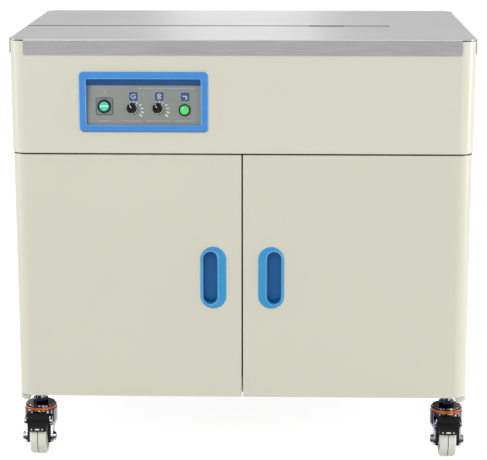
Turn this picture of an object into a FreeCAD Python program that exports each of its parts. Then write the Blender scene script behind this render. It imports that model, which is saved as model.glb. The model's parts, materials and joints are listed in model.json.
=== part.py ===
"""Semi-automatic strapping machine on casters: a cabinet with a steel table, a reel and a sealing head.

All sizes are in millimetres. X runs along the table, Y from the front to the back and Z up from the floor.
The origin is on the floor, under the middle of the whole machine.
"""

import FreeCAD
import Part

import math
import os

Vector = FreeCAD.Vector
Rotation = FreeCAD.Rotation
Placement = FreeCAD.Placement

# Driving dimensions of the whole machine
table_width = 906.0
table_depth = 600.0
table_height = 850.0
door_seam_below_table = 223.5
door_foot_height = 133.0
seam_gap = 3.4
corner_radius = 30.0

# Sheet metal and clearances shared by the whole machine
sheet = 1.5
cover_setback = 2.6
side_step = 2.0
running_gap = 0.3
straight_share = 0.5
overrun = 1.0

# Table top
table_sheet = 1.5
skirt_height = 30.0
skirt_bend = 3.0
skirt_end_margin = 1.0
groove_width = 16.0
groove_depth = 5.0
strap_line_from_front = 262.0
head_slot_start = 131.0
head_slot_length = 72.0
head_slot_width = 24.0
entry_slot_length = 94.0
chute_depth = 11.0
cover_top_gap = 2.0
groove_notch_clearance = 3.0

# Frame of square tube
tube = 30.0
tube_wall = 2.0
post_behind_door = 36.5
frame_top_below_table = 10.0
foot_thickness = 9.0
foot_below_door = 1.0
foot_width = 64.0
foot_length = 112.0
foot_lip = 20.0
foot_notch = 42.0
cabinet_back_inset = 10.0
side_panel_from_door = 2.5
buffer_radius = 9.0
buffer_height = 8.2
buffer_from_side = 15.0
buffer_from_end = 60.0

# Louvres of the back panel
louvre_length = 90.0
louvre_height = 5.0
louvre_hood = 3.0
louvre_pitch = 16.0
louvre_count = 7
louvre_spread = 400.0
louvre_low = 430.0

# Doors
door_depth = 20.0
door_side_depth = 30.0
door_lip = 15.0
door_gap = 3.2
hinge_inset = 14.0
hinge_pin_radius = 3.0
hinge_pin_engagement = 12.0
hinge_bush_radius = 6.4
hinge_bush_length = 14.0
hinge_bracket_thickness = 8.0
hinge_bracket_half_width = 6.4
catch_width = 44.0
catch_height = 13.0
catch_depth = 22.0
catch_from_middle = 42.0

# Door handles
handle_from_middle = 57.2
handle_centre_height = 379.3
handle_width = 51.0
handle_height = 125.0
handle_proud = 3.0
handle_round = 2.2
handle_opening_width = 29.5
handle_opening_height = 107.3
handle_opening_offset = 5.8
handle_cup_width = 44.0
handle_cup_height = 118.0
handle_cup_offset = 1.3
handle_cup_depth = 16.0
handle_wall = 2.0
handle_hole_clearance = 0.5

# Upper cover
cover_top_flange = 14.0

# Control panel
bezel_width = 249.0
bezel_height = 117.0
bezel_corner = 8.0
bezel_from_middle = 190.8
bezel_below_table = 121.0
bezel_proud = 5.0
bezel_round = 2.5
bezel_opening_width = 222.6
bezel_opening_height = 90.5
bezel_opening_drop = 0.2
bezel_wall = 2.0
bezel_hole_clearance = 0.5
panel_depth_bottom = 8.0
panel_depth_top = 18.0
panel_ceiling_drop = 15.0
panel_thickness = 2.0
board_thickness = 1.6
board_width = 190.0
board_height = 64.0
board_behind_panel = 44.0
board_post_radius = 3.0
board_post_inset = 6.0
relay_width = 18.0
relay_height = 22.0
relay_depth = 16.0
relay_pitch = 30.0
relay_count = 4

# Controls on the panel, placed from the middle of the panel plate
switch_from_middle = -77.1
switch_above = -2.2
switch_plate_width = 33.0
switch_plate_thickness = 2.0
switch_plate_corner = 3.0
switch_ring_radius = 13.0
switch_ring_proud = 3.0
rocker_radius = 9.8
rocker_thickness = 6.0
rocker_clearance = 0.5
rocker_tilt = 6.0
rocker_lift = 1.0
knob_places = (-23.0, 27.0)
knob_below = 6.0
knob_skirt_radius = 10.5
knob_skirt_thickness = 2.5
knob_radius = 8.2
knob_top_radius = 7.4
knob_height = 12.0
knob_stand_off = 0.6
knob_shaft_radius = 3.0
knob_flute_radius = 1.1
knob_flute_count = 16
control_radius = 8.5
control_depth = 22.0
button_from_middle = 79.0
button_below = 9.2
button_ring_radius = 11.5
button_ring_proud = 3.5
button_radius = 8.8
button_proud = 5.0
button_travel = 3.0
button_inside = 6.0

# Casters
caster_from_side = 33.8
caster_from_front = 65.0
caster_from_back = 72.0
caster_trail = 28.0
wheel_radius = 35.0
wheel_width = 32.5
wheel_round = 4.0
wheel_groove_width = 1.6
wheel_groove_depth = 1.5
wheel_hub_recess = 4.0
axle_radius = 5.0
axle_nut_radius = 8.5
axle_nut_thickness = 5.5
axle_collar_radius = 8.0
fork_leg = 3.5
fork_leg_gap = 48.0
fork_leg_end_radius = 13.0
fork_leg_root = 46.0
fork_crown_radius = 33.0
fork_crown_low = 75.0
fork_crown_high = 88.0
fork_crown_wall = 3.0
fork_shoulder_low = 62.0
fork_shoulder_end = 48.0
fork_shoulder_from_axis = 22.0
race_radius = 31.5
race_height = 6.4
disc_radius = 29.0
disc_thickness = 4.0
caster_nut_width = 30.0
caster_nut_height = 11.0
stem_radius = 6.0
stem_collar_radius = 12.0
pedal_width = 47.0
pedal_foot_width = 36.0
pedal_clearance = 6.0
pedal_thickness = 4.5
pedal_low_angle = 29.0
pedal_high_angle = 62.0
pedal_top_height = 85.0
pedal_top_from_axis = 35.0
pedal_pin_radius = 2.5
pedal_pin_height = 72.0
pedal_pin_from_axis = 44.5
pedal_ear_radius = 6.5

# Table hinges at the back
hinge_places = (-250.0, 250.0)
hinge_length = 90.0
hinge_knuckle_radius = 3.5
hinge_wire_radius = 1.8
hinge_leaf = 1.5
hinge_leaf_height = 24.0
hinge_axis_from_back = 5.5
hinge_knuckle_gap = 0.5
hinge_knuckle_count = 5

# Strap reel
reel_from_middle = -205.0
reel_height = 378.0
reel_front_from_door = 72.0
reel_flange_radius = 190.0
reel_flange = 3.0
reel_inner_width = 190.0
reel_drum_radius = 100.0
reel_drum_wall = 3.0
reel_hub_radius = 26.0
reel_spoke_count = 6
reel_spoke = 6.0
reel_hole_radius = 30.0
reel_hole_circle = 145.0
reel_shaft_radius = 12.5
reel_nut_radius = 26.0
reel_nut_thickness = 14.0
reel_nut_lobes = 6
reel_nut_lobe_radius = 8.0
reel_shaft_end = 4.0
stand_width = 120.0
stand_thickness = 8.0
stand_above_shaft = 224.0
stand_foot = 70.0
stand_behind_reel = 8.0
stand_boss_radius = 22.0
brake_arm_left = 120.0
brake_arm_right = 12.0
brake_arm_height = 18.0
brake_arm_thickness = 8.0
brake_pad_length = 34.0
brake_pad_gap = 0.5
brake_pad_depth = 9.0
brake_pivot_radius = 6.0
brake_pivot_from_shaft = 45.0
brake_cap_radius = 9.0
brake_cap_thickness = 3.0

# Sealing head
head_plate = 8.0
head_half_depth = 55.0
head_top_below_table = 14.0
head_left_plate_height = 176.0
head_right_plate_height = 370.0
head_plate_inset = 2.0
bridge_width = 20.0
bridge_height = 30.0
bridge_top_below_table = 20.0
gripper_width = 18.0
gripper_depth = 24.0
gripper_pitch = 21.5
gripper_clearance = 0.3
gripper_top_below_table = 14.5
gripper_lift = 6.0
gripper_count = 3
gripper_serration = 1.5
gripper_notch_count = 4
block_wall = 12.0
block_height = 62.0
block_top_below_table = 20.0
rail_width = 2.8
strap_gate_clearance = 2.0
slide_plate_thickness = 3.0
slide_plate_below_table = 2.0
slide_plate_width = 34.0
slide_plate_end_gap = 0.5
slide_plate_travel = 25.0
shelf_margin = 44.0
shelf_thickness = 8.0
heater_block_width = 36.0
heater_block_depth = 22.0
heater_block_height = 12.0
heater_clearance = 2.0
heater_blade = 1.0
heater_blade_width = 16.0
heater_blade_length = 22.0
heater_travel = 18.0
camshaft_below_table = 149.5
camshaft_radius = 8.0
cam_radius = 20.0
cam_thickness = 14.0
cam_lift_angle = 120.0
cam_dwell_angle = 160.0
cam_return_angle = 280.0
cam_gap = 0.6
cam_step_angle = 10.0
bearing_radius = 15.0
bearing_width = 6.0

# Drive of the head
pulley_width = 14.0
pulley_from_plate = 8.0
cam_pulley_radius = 38.0
motor_pulley_radius = 19.0
pulley_rim = 3.0
pulley_rim_width = 2.0
belt_thickness = 2.5
belt_clearance = 0.4
motor_shaft_radius = 7.0
motor_drop = 170.0
motor_radius = 48.0
motor_length = 96.0
motor_fin_height = 4.0
motor_fin_width = 3.0
motor_fin_count = 20
motor_cap_radius = 51.0
motor_cap_length = 18.0
gearhead_width = 84.0
gearhead_length = 34.0
gearhead_round = 5.0

# Feed rollers
feed_plate_width = 85.0
feed_plate_thickness = 8.0
feed_plate_top_below_table = 56.0
feed_plate_height = 150.0
feed_plate_behind_strap = 16.0
feed_roller_radius = 20.0
pinch_roller_radius = 12.0
guide_roller_radius = 15.0
roller_nip = 0.6
roller_width = 22.0
roller_axle_radius = 5.0
roller_cap_radius = 7.5
roller_cap_thickness = 2.0
feed_roller_below_table = 90.0
feed_roller_from_plate = 40.0
guide_roller_below_table = 176.0
guide_roller_from_plate = 62.0

# Transformer and rear fittings
transformer_from_middle = 320.0
transformer_from_back = 150.0
transformer_width = 96.0
transformer_depth = 78.0
transformer_height = 80.0
transformer_limb_share = 0.2
transformer_coil_bulge = 14.0
transformer_base = 4.0
transformer_base_margin = 12.0
gland_from_side = 117.5
gland_height = 210.0
gland_radius = 9.0
gland_length = 8.5
gland_bore = 4.0
gland_hex = 24.0
gland_hex_length = 4.0
gland_thread_radius = 8.0
gland_nut_length = 5.0

# Places worked out from the sizes above
X_AXIS = Vector(1, 0, 0)
Y_AXIS = Vector(0, 1, 0)
Z_AXIS = Vector(0, 0, 1)
panel_rise = bezel_opening_height - panel_ceiling_drop
panel_run = panel_depth_top - panel_depth_bottom
panel_length = math.hypot(panel_rise, panel_run)
panel_tilt = math.degrees(math.atan2(panel_run, panel_rise))
knob_reach = knob_stand_off + knob_skirt_thickness + knob_height
knob_front = ((panel_depth_bottom + panel_depth_top) / 2 - knob_reach * math.cos(math.radians(panel_tilt))
              - (knob_below + knob_top_radius) * math.sin(math.radians(panel_tilt)))
table_overhang = bezel_proud - cover_setback - min(knob_front, 0)
middle_y = table_overhang / 2
table_front = middle_y - table_depth / 2
table_back = middle_y + table_depth / 2
table_under = table_height - table_sheet
table_half = table_width / 2
front = table_front + cover_setback
back = table_back - cabinet_back_inset
cover_half = table_half - side_step
door_seam_height = table_height - door_seam_below_table
cover_low = door_seam_height + seam_gap / 2
cover_top = table_under - cover_top_gap
body_half = cover_half - side_step
body_radius = corner_radius - side_step
body_top = door_seam_height - seam_gap / 2
post_outer = body_half - sheet
post_front = front + post_behind_door
post_back = back - sheet
foot_top = door_foot_height - foot_below_door
foot_low = foot_top - foot_thickness
base_top = foot_top + tube
frame_top = table_height - frame_top_below_table
floor_top = base_top + sheet
rail_outer = cover_half - sheet
hinge_x = body_half - hinge_inset
hinge_y = front + hinge_inset
strap_line = table_front + strap_line_from_front
head_slot_end = head_slot_start + head_slot_length
head_middle = head_slot_start + head_slot_length / 2
head_left = head_slot_start + head_plate_inset
head_right = head_slot_end - head_plate_inset
camshaft_height = table_height - camshaft_below_table
motor_height = camshaft_height - motor_drop
pulley_start = head_right + head_plate + pulley_from_plate
reel_front = front + reel_front_from_door
reel_back = reel_front + 2 * reel_flange + reel_inner_width
brake_arm_low = reel_height + reel_flange_radius + brake_pad_gap + brake_pad_depth
brake_arm_middle = brake_arm_low + brake_arm_height / 2
brake_pivot_x = reel_from_middle + brake_pivot_from_shaft
gland_x = post_outer - gland_from_side
bezel_height_middle = table_height - bezel_below_table
opening_middle = bezel_height_middle - bezel_opening_drop
opening_low = opening_middle - bezel_opening_height / 2
opening_high = opening_middle + bezel_opening_height / 2
bezel_front = front - bezel_proud
panel_low_y = bezel_front + panel_depth_bottom
panel_high_y = bezel_front + panel_depth_top
panel_high = opening_high - panel_ceiling_drop
panel_placement = Placement(
    Vector(-bezel_from_middle, (panel_low_y + panel_high_y) / 2, (opening_low + panel_high) / 2),
    Rotation(X_AXIS, 90 - panel_tilt),
)


# Shapes that the sub-parts are made of

def box(x0, x1, y0, y1, z0, z1):
    """A block between two corners, in any order of each pair."""
    low = Vector(min(x0, x1), min(y0, y1), min(z0, z1))
    return Part.makeBox(abs(x1 - x0), abs(y1 - y0), abs(z1 - z0), low)


def centred_box(x, y, z0, z1, width, depth):
    """A block standing on z0, centred on x and y."""
    return box(x - width / 2, x + width / 2, y - depth / 2, y + depth / 2, z0, z1)


def rod(radius, length, x, y, z, axis):
    """A cylinder that starts at a point and runs along an axis."""
    return Part.makeCylinder(radius, length, Vector(x, y, z), axis)


def pipe(outer, inner, length, x, y, z, axis):
    """A cylinder with a bore through it."""
    return rod(outer, length, x, y, z, axis).cut(rod(inner, length, x, y, z, axis))


def prism(points, offset):
    """A solid swept from a closed outline of straight sides."""
    return Part.Face(Part.makePolygon(points + points[:1])).extrude(offset)


def join(shapes):
    """One solid from shapes that touch or overlap."""
    first = shapes[0]
    return first.fuse(shapes[1:]).removeSplitter()


def save(name, shapes):
    """Write one sub-part, made of one or several solids."""
    solids = [solid for shape in shapes for solid in shape.Solids]
    whole = solids[0] if len(solids) == 1 else Part.makeCompound(solids)
    whole.exportStep("parts/" + name + ".step")


def square_tube_x(x0, x1, y0, z0):
    """A square tube along X from the low corner of its section."""
    inner = box(x0, x1, y0 + tube_wall, y0 + tube - tube_wall, z0 + tube_wall, z0 + tube - tube_wall)
    return box(x0, x1, y0, y0 + tube, z0, z0 + tube).cut(inner)


def square_tube_y(x0, y0, y1, z0):
    """A square tube along Y from the low corner of its section."""
    inner = box(x0 + tube_wall, x0 + tube - tube_wall, y0, y1, z0 + tube_wall, z0 + tube - tube_wall)
    return box(x0, x0 + tube, y0, y1, z0, z0 + tube).cut(inner)


def square_tube_z(x0, y0, z0, z1):
    """A square tube along Z from the low corner of its section."""
    inner = box(x0 + tube_wall, x0 + tube - tube_wall, y0 + tube_wall, y0 + tube - tube_wall, z0, z1)
    return box(x0, x0 + tube, y0, y0 + tube, z0, z1).cut(inner)


def stadium(x, z, width, height, y0, y1):
    """An upright slot shape, as wide as its round ends, swept along Y."""
    radius = width / 2
    reach = height / 2 - radius
    ends = [rod(radius, y1 - y0, x, y0, z + side * reach, Y_AXIS) for side in (-1, 1)]
    return join([box(x - radius, x + radius, y0, y1, z - reach, z + reach)] + ends)


def rounded_block(x, z, width, height, radius, y0, y1):
    """A block along Y with four rounded upright corners, as seen from the front."""
    block = box(x - width / 2, x + width / 2, y0, y1, z - height / 2, z + height / 2)
    edges = [edge for edge in block.Edges if abs(edge.tangentAt(edge.FirstParameter).y) > straight_share]
    return block.makeFillet(radius, edges)


def upright_edges(shape):
    """The straight edges of a shape that run along Z."""
    return [edge for edge in shape.Edges
            if abs(edge.tangentAt(edge.FirstParameter).z) > straight_share]


def front_rounded(half, y0, y1, radius, z0, z1):
    """An upright block whose two front corners are round."""
    block = box(-half, half, y0, y1, z0, z1)
    edges = [edge for edge in upright_edges(block) if edge.CenterOfMass.y < (y0 + y1) / 2]
    return block.makeFillet(radius, edges)


def front_edges(shape, y):
    """The edges of a shape that lie wholly in one upright plane."""
    return [edge for edge in shape.Edges
            if abs(edge.BoundBox.YMin - y) < running_gap and abs(edge.BoundBox.YMax - y) < running_gap]


# Table top

def rounded_plate():
    """The flat sheet of the table with its four round corners."""
    plate = box(-table_half, table_half, table_front, table_back, table_under, table_height)
    return plate.makeFillet(corner_radius, upright_edges(plate))


def skirt(half_span, length):
    """A folded edge of the table, bent down with a round bend, on the -Y side of the table's middle."""
    outer_y = -half_span
    bend_y = outer_y + skirt_bend
    bend_z = table_height - skirt_bend
    low = table_height - skirt_height
    inner_radius = skirt_bend - table_sheet
    turn = math.sqrt(0.5)
    start = -length / 2

    def point(y, z):
        return Vector(start, middle_y + y, z)

    outline = Part.Wire([
        Part.makeLine(point(outer_y, low), point(outer_y, bend_z)),
        Part.Arc(point(outer_y, bend_z),
                 point(bend_y - skirt_bend * turn, bend_z + skirt_bend * turn),
                 point(bend_y, table_height)).toShape(),
        Part.makeLine(point(bend_y, table_height), point(bend_y, table_under)),
        Part.Arc(point(bend_y, table_under),
                 point(bend_y - inner_radius * turn, bend_z + inner_radius * turn),
                 point(outer_y + table_sheet, bend_z)).toShape(),
        Part.makeLine(point(outer_y + table_sheet, bend_z), point(outer_y + table_sheet, low)),
        Part.makeLine(point(outer_y + table_sheet, low), point(outer_y, low)),
    ])
    return Part.Face(outline).extrude(Vector(length, 0, 0))


def skirt_seat(half_span, length):
    """The strip of flat sheet that a folded edge takes the place of."""
    return box(-length / 2, length / 2, middle_y - half_span - overrun, middle_y - half_span + skirt_bend,
               table_under - overrun, table_height + overrun)


def channel_block():
    """The outside of the strap channel under the table's sheet."""
    half = groove_width / 2 + table_sheet
    return box(-table_half, head_slot_start, strap_line - half, strap_line + half,
               table_height - groove_depth - table_sheet, table_under)


def strap_channel():
    """The folded channel under the gap between the table's sheets, which the strap lies in."""
    groove = box(-table_half - overrun, head_slot_start + overrun, strap_line - groove_width / 2,
                 strap_line + groove_width / 2, table_height - groove_depth, table_height)
    return channel_block().cut(groove)


def folded_top():
    """The table's whole steel skin: the flat top with its four folded edges."""
    long_fold = table_width - 2 * (corner_radius + skirt_end_margin)
    short_fold = table_depth - 2 * (corner_radius + skirt_end_margin)
    folds = [(table_depth / 2, long_fold, 0), (table_half, short_fold, 90),
             (table_depth / 2, long_fold, 180), (table_half, short_fold, 270)]
    pivot = Vector(0, middle_y, 0)
    top = rounded_plate()
    for half_span, length, angle in folds:
        top = top.cut(skirt_seat(half_span, length).rotate(pivot, Z_AXIS, angle))
    return join([top] + [skirt(half_span, length).rotate(pivot, Z_AXIS, angle)
                         for half_span, length, angle in folds])


def table_sheets():
    """The front and rear sheets of the table, a strap's width apart, and the strip that joins them."""
    top = folded_top().cut(channel_block())
    low = table_height - skirt_height - overrun
    high = table_height + overrun
    half = groove_width / 2
    end = table_half + overrun
    head_slot = box(head_slot_start, head_slot_end, strap_line - head_slot_width / 2,
                    strap_line + head_slot_width / 2, table_under - overrun, high)
    rooms = [box(-end, end, table_front - overrun, strap_line - half, low, high),
             box(-end, end, strap_line + half, table_back + overrun, low, high)]
    strip_start = head_slot_end + entry_slot_length
    strip_room = box(strip_start, end, strap_line - half, strap_line + half, low, high)
    return [top.common(room).cut(head_slot) for room in rooms] + [top.common(strip_room)]


def strap_chute():
    """The folded trough under the slot where the strap's end goes in."""
    half = groove_width / 2
    start = head_slot_end + overrun
    end = head_slot_end + entry_slot_length
    low = table_under - chute_depth
    outer = box(start, end + sheet, strap_line - half - sheet, strap_line + half + sheet, low, table_under)
    inner = box(start - overrun, end, strap_line - half, strap_line + half, low + sheet,
                table_under + overrun)
    return outer.cut(inner)


def buffers():
    """Four rubber pads on the frame that the table comes to rest on."""
    x = rail_outer - buffer_from_side
    ends = (post_front + buffer_from_end, post_back - buffer_from_end)
    return [rod(buffer_radius, buffer_height, side * x, y, frame_top, Z_AXIS)
            for side in (-1, 1) for y in ends]


# Hinges that the table opens on

def hinge_spans(middle):
    """The start and length of each knuckle along one hinge."""
    pitch = hinge_length / hinge_knuckle_count
    first = middle - hinge_length / 2
    length = pitch - hinge_knuckle_gap
    return [(first + index * pitch + hinge_knuckle_gap / 2, length) for index in range(hinge_knuckle_count)]


def knuckles(middle, parity):
    """Every other knuckle of a hinge."""
    y = table_back - hinge_axis_from_back
    z = table_height - skirt_height
    return [rod(hinge_knuckle_radius, length, start, y, z, X_AXIS)
            for index, (start, length) in enumerate(hinge_spans(middle)) if index % 2 == parity]


def knuckle_room(middle, parity):
    """The room that the other leaf's knuckles turn in."""
    y = table_back - hinge_axis_from_back
    z = table_height - skirt_height
    radius = hinge_knuckle_radius + hinge_knuckle_gap
    return [rod(radius, length + 2 * hinge_knuckle_gap, start - hinge_knuckle_gap, y, z, X_AXIS)
            for index, (start, length) in enumerate(hinge_spans(middle)) if index % 2 == parity]


def hinge_base(middle):
    """The hinge half on the cabinet's back, with the hinge wire."""
    y = table_back - hinge_axis_from_back
    z = table_height - skirt_height
    leaf = box(middle - hinge_length / 2, middle + hinge_length / 2, back, back + hinge_leaf,
               z - hinge_leaf_height, z)
    wire = rod(hinge_wire_radius, hinge_length, middle - hinge_length / 2, y, z, X_AXIS)
    return join([leaf.cut(knuckle_room(middle, 1))] + knuckles(middle, 0) + [wire])


def hinge_flap(middle):
    """The hinge half on the table's rear skirt."""
    y = table_back - hinge_axis_from_back
    z = table_height - skirt_height
    inner = table_back - table_sheet
    leaf = box(middle - hinge_length / 2 + hinge_knuckle_gap, middle + hinge_length / 2 - hinge_knuckle_gap,
               inner - hinge_leaf, inner, z, z + hinge_leaf_height)
    bore = rod(hinge_wire_radius + running_gap, hinge_length + 2 * overrun,
               middle - hinge_length / 2 - overrun, y, z, X_AXIS)
    return join([leaf.cut(knuckle_room(middle, 0))] + knuckles(middle, 1)).cut(bore)


# Cabinet

def cabinet_frame():
    """Four posts, the header over the doors and the ring under the table."""
    posts = [square_tube_z(x, y, base_top, frame_top - tube)
             for x in (-post_outer, post_outer - tube) for y in (post_front, post_back - tube)]
    header = square_tube_x(-post_outer + tube, post_outer - tube, post_front, cover_low)
    long_rails = [square_tube_x(-rail_outer + tube, rail_outer - tube, y, frame_top - tube)
                  for y in (post_front, post_back - tube)]
    side_rails = [square_tube_y(x, post_front, post_back, frame_top - tube)
                  for x in (-rail_outer, rail_outer - tube)]
    return posts + [header] + long_rails + side_rails


def base_frame():
    """The ring of tube at the foot of the cabinet, with a cross tube."""
    long_tubes = [square_tube_x(-post_outer, post_outer, y, foot_top)
                  for y in (post_front, post_back - tube)]
    side_tubes = [square_tube_y(x, post_front + tube, post_back - tube, foot_top)
                  for x in (-post_outer, post_outer - tube, -tube / 2)]
    return long_tubes + side_tubes


def corner_foot(side, at_front):
    """The steel pad at one corner that the caster is bolted to."""
    inner = side * (body_half - foot_width)
    outer = side * body_half
    if at_front:
        pad = box(inner, outer, front, front + foot_length, foot_low, foot_top)
        edges = [edge for edge in upright_edges(pad) if edge.CenterOfMass.y < front + overrun
                 and abs(edge.CenterOfMass.x) > body_half - overrun]
        pad = pad.makeFillet(body_radius, edges)
        notch = box(inner - side * overrun, outer - side * foot_lip, front - overrun, front + foot_notch,
                    foot_low - overrun, foot_top + overrun)
        pad = pad.cut(notch)
    else:
        pad = box(inner, outer, back - foot_length, back, foot_low, foot_top)
    x, y = caster_place(side, at_front)
    return pad.cut(rod(stem_radius, foot_thickness, x, y, foot_low, Z_AXIS))


def floor_tray():
    """The cabinet's floor sheet, cut out round the posts."""
    tray = box(-post_outer, post_outer, post_front, post_back, base_top, floor_top)
    reach = tube + running_gap
    ends = ((post_front - overrun, post_front + reach), (post_back - reach, post_back + overrun))
    notches = [box(side * (post_outer - reach), side * (post_outer + overrun), y0, y1,
                   base_top - overrun, floor_top + overrun)
               for side in (-1, 1) for y0, y1 in ends]
    return tray.cut(notches)


def side_panel(side):
    """A plain side sheet of the lower cabinet."""
    return box(side * post_outer, side * body_half, front + door_side_depth + side_panel_from_door, back,
               door_foot_height, body_top)


def louvres(column):
    """One column of cooling slots, each with its hood, as lists of slots and hoods."""
    slots = []
    hoods = []
    x0 = column * louvre_spread / 2 - louvre_length / 2
    for row in range(louvre_count):
        z = louvre_low + row * louvre_pitch
        slots.append(box(x0, x0 + louvre_length, post_back - overrun, back + overrun, z, z + louvre_height))
        hoods.append(prism([Vector(x0, back, z + louvre_height), Vector(x0, back + louvre_hood, z),
                            Vector(x0, back + louvre_hood, z + sheet),
                            Vector(x0, back, z + louvre_height + sheet)],
                           Vector(louvre_length, 0, 0)))
    return slots, hoods


def back_panel():
    """The rear sheet with its louvres and the hole of the cable gland."""
    panel = box(-post_outer, post_outer, post_back, back, door_foot_height, frame_top)
    slots = []
    hoods = []
    for column in (-1, 1):
        column_slots, column_hoods = louvres(column)
        slots += column_slots
        hoods += column_hoods
    hole = rod(gland_thread_radius, sheet + 2 * overrun, gland_x, post_back - overrun, gland_height, Y_AXIS)
    return join([panel.cut(slots + [hole])] + hoods)


def upper_cover():
    """The sheet round the front and sides above the doors, open for the control panel."""
    outer = front_rounded(cover_half, front, back, corner_radius, cover_low, cover_top)
    inner = front_rounded(cover_half - sheet, front + sheet, back + overrun, corner_radius - sheet,
                          cover_low - overrun, cover_top + overrun)
    shell = outer.cut(inner)
    reach = cover_half - corner_radius
    flange = box(-reach, reach, front, front + cover_top_flange, cover_top - sheet, cover_top)
    returns = [box(side * post_outer, side * cover_half, post_back, back, cover_low, cover_top)
               for side in (-1, 1)]
    margin = bezel_wall + bezel_hole_clearance
    hole_half = bezel_opening_width / 2 + margin
    hole = box(-bezel_from_middle - hole_half, -bezel_from_middle + hole_half, front - overrun,
               front + sheet + overrun, opening_low - margin, opening_high + margin)
    notch = box(-cover_half - overrun, -cover_half + sheet + overrun,
                strap_line - groove_width / 2 - sheet - groove_notch_clearance,
                strap_line + groove_width / 2 + sheet + groove_notch_clearance,
                table_height - groove_depth - table_sheet - groove_notch_clearance, cover_top + overrun)
    return join([shell, flange] + returns).cut([hole, notch])


# Doors

def hinge_pins():
    """Four brackets with the pins that the doors turn on."""
    pins = []
    for side in (-1, 1):
        x = side * hinge_x
        nose = rod(hinge_bracket_half_width, hinge_bracket_thickness, x, hinge_y, cover_low, Z_AXIS)
        arm = box(x - hinge_bracket_half_width, x + hinge_bracket_half_width, hinge_y, post_front,
                  cover_low, cover_low + hinge_bracket_thickness)
        upper = rod(hinge_pin_radius, cover_low - body_top + hinge_pin_engagement, x, hinge_y,
                    body_top - hinge_pin_engagement, Z_AXIS)
        pins.append(join([nose, arm, upper]))
        pins.append(rod(hinge_pin_radius, foot_below_door + hinge_pin_engagement, x, hinge_y, foot_top,
                        Z_AXIS))
    return pins


def door(side):
    """One door: a folded pan with a round outer corner, hung on pins near that corner."""
    low = door_foot_height
    side_back = front + door_side_depth
    outer = front_rounded(body_half, front, side_back, body_radius, low, body_top)
    inner = front_rounded(body_half - sheet, front + sheet, side_back + overrun, body_radius - sheet,
                          low + sheet, body_top - sheet)
    half_room = box(side * door_gap / 2, side * (body_half + overrun), front - overrun, side_back + overrun,
                    low - overrun, body_top + overrun)
    shell = outer.cut(inner).common(half_room)
    ends_room = box(side * (door_gap / 2 - overrun), side * (body_half - sheet), front + door_depth,
                    side_back + overrun, low - overrun, body_top + overrun)
    edge = box(side * door_gap / 2, side * (door_gap / 2 + sheet), front, front + door_depth, low, body_top)
    edge_lip = box(side * door_gap / 2, side * (door_gap / 2 + door_lip), front + door_depth - sheet,
                   front + door_depth, low, body_top)
    lip_end = side * (body_half - body_radius)
    end_lips = [box(side * door_gap / 2, lip_end, front + door_depth - sheet, front + door_depth, z0, z1)
                for z0, z1 in ((low, low + door_lip), (body_top - door_lip, body_top))]
    bushes = [rod(hinge_bush_radius, hinge_bush_length, side * hinge_x, hinge_y, z, Z_AXIS)
              for z in (low, body_top - hinge_bush_length)]
    pan = join([shell.cut(ends_room), edge, edge_lip] + end_lips + bushes)
    reach = hinge_pin_engagement + running_gap
    bores = [rod(hinge_pin_radius + running_gap, reach + overrun, side * hinge_x, hinge_y, z, Z_AXIS)
             for z in (low - overrun, body_top - reach)]
    hole_width = handle_cup_width + 2 * handle_hole_clearance
    hole_height = handle_cup_height + 2 * handle_hole_clearance
    hole = stadium(handle_centre(side, handle_cup_offset), handle_centre_height, hole_width, hole_height,
                   front - overrun, front + sheet + overrun)
    return pan.cut(bores + [hole])


def door_catch(side):
    """The magnet block under the header that holds a door shut."""
    y0 = front + door_depth + running_gap
    return box(side * (catch_from_middle - catch_width / 2), side * (catch_from_middle + catch_width / 2),
               y0, y0 + catch_depth, cover_low - catch_height, cover_low)


def handle_centre(side, offset):
    """The middle of a handle's feature that sits off the handle's own middle, away from the door gap."""
    return side * (handle_from_middle + offset)


def handle(side):
    """A flush pull: a slot-shaped rim with a cup behind it that reaches under its inner lip."""
    rim = stadium(handle_centre(side, 0), handle_centre_height, handle_width, handle_height,
                  front - handle_proud, front)
    rim = rim.makeFillet(handle_round, front_edges(rim, front - handle_proud))
    cup_x = handle_centre(side, handle_cup_offset)
    cup = stadium(cup_x, handle_centre_height, handle_cup_width, handle_cup_height,
                  front, front + handle_cup_depth + handle_wall)
    room = stadium(cup_x, handle_centre_height, handle_cup_width - 2 * handle_wall,
                   handle_cup_height - 2 * handle_wall, front, front + handle_cup_depth)
    mouth = stadium(handle_centre(side, handle_opening_offset), handle_centre_height, handle_opening_width,
                    handle_opening_height, front - handle_proud - overrun, front + overrun)
    return join([rim, cup]).cut([room, mouth])


# Control panel

def recess(grow):
    """The room in front of the tilted panel plate, grown on its sides, top and bottom."""
    half = bezel_opening_width / 2 + grow
    slope = panel_run / panel_rise
    low = opening_low - grow
    high = panel_high + grow
    return prism([Vector(-bezel_from_middle - half, bezel_front, low),
                  Vector(-bezel_from_middle - half, panel_low_y - grow * slope, low),
                  Vector(-bezel_from_middle - half, panel_high_y + grow * slope, high),
                  Vector(-bezel_from_middle - half, bezel_front, opening_high + grow)],
                 Vector(2 * half, 0, 0))


def panel_bezel():
    """The plastic frame round the controls, with the sloping walls behind it."""
    rim = rounded_block(-bezel_from_middle, bezel_height_middle, bezel_width, bezel_height, bezel_corner,
                        bezel_front, front)
    rim = rim.makeFillet(bezel_round, front_edges(rim, bezel_front))
    return join([rim, recess(bezel_wall)]).cut(recess(0))


def on_panel(shape):
    """Move a shape from the panel plate's own frame, with its face in XY, to its place."""
    return shape.transformed(panel_placement.toMatrix())


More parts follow.
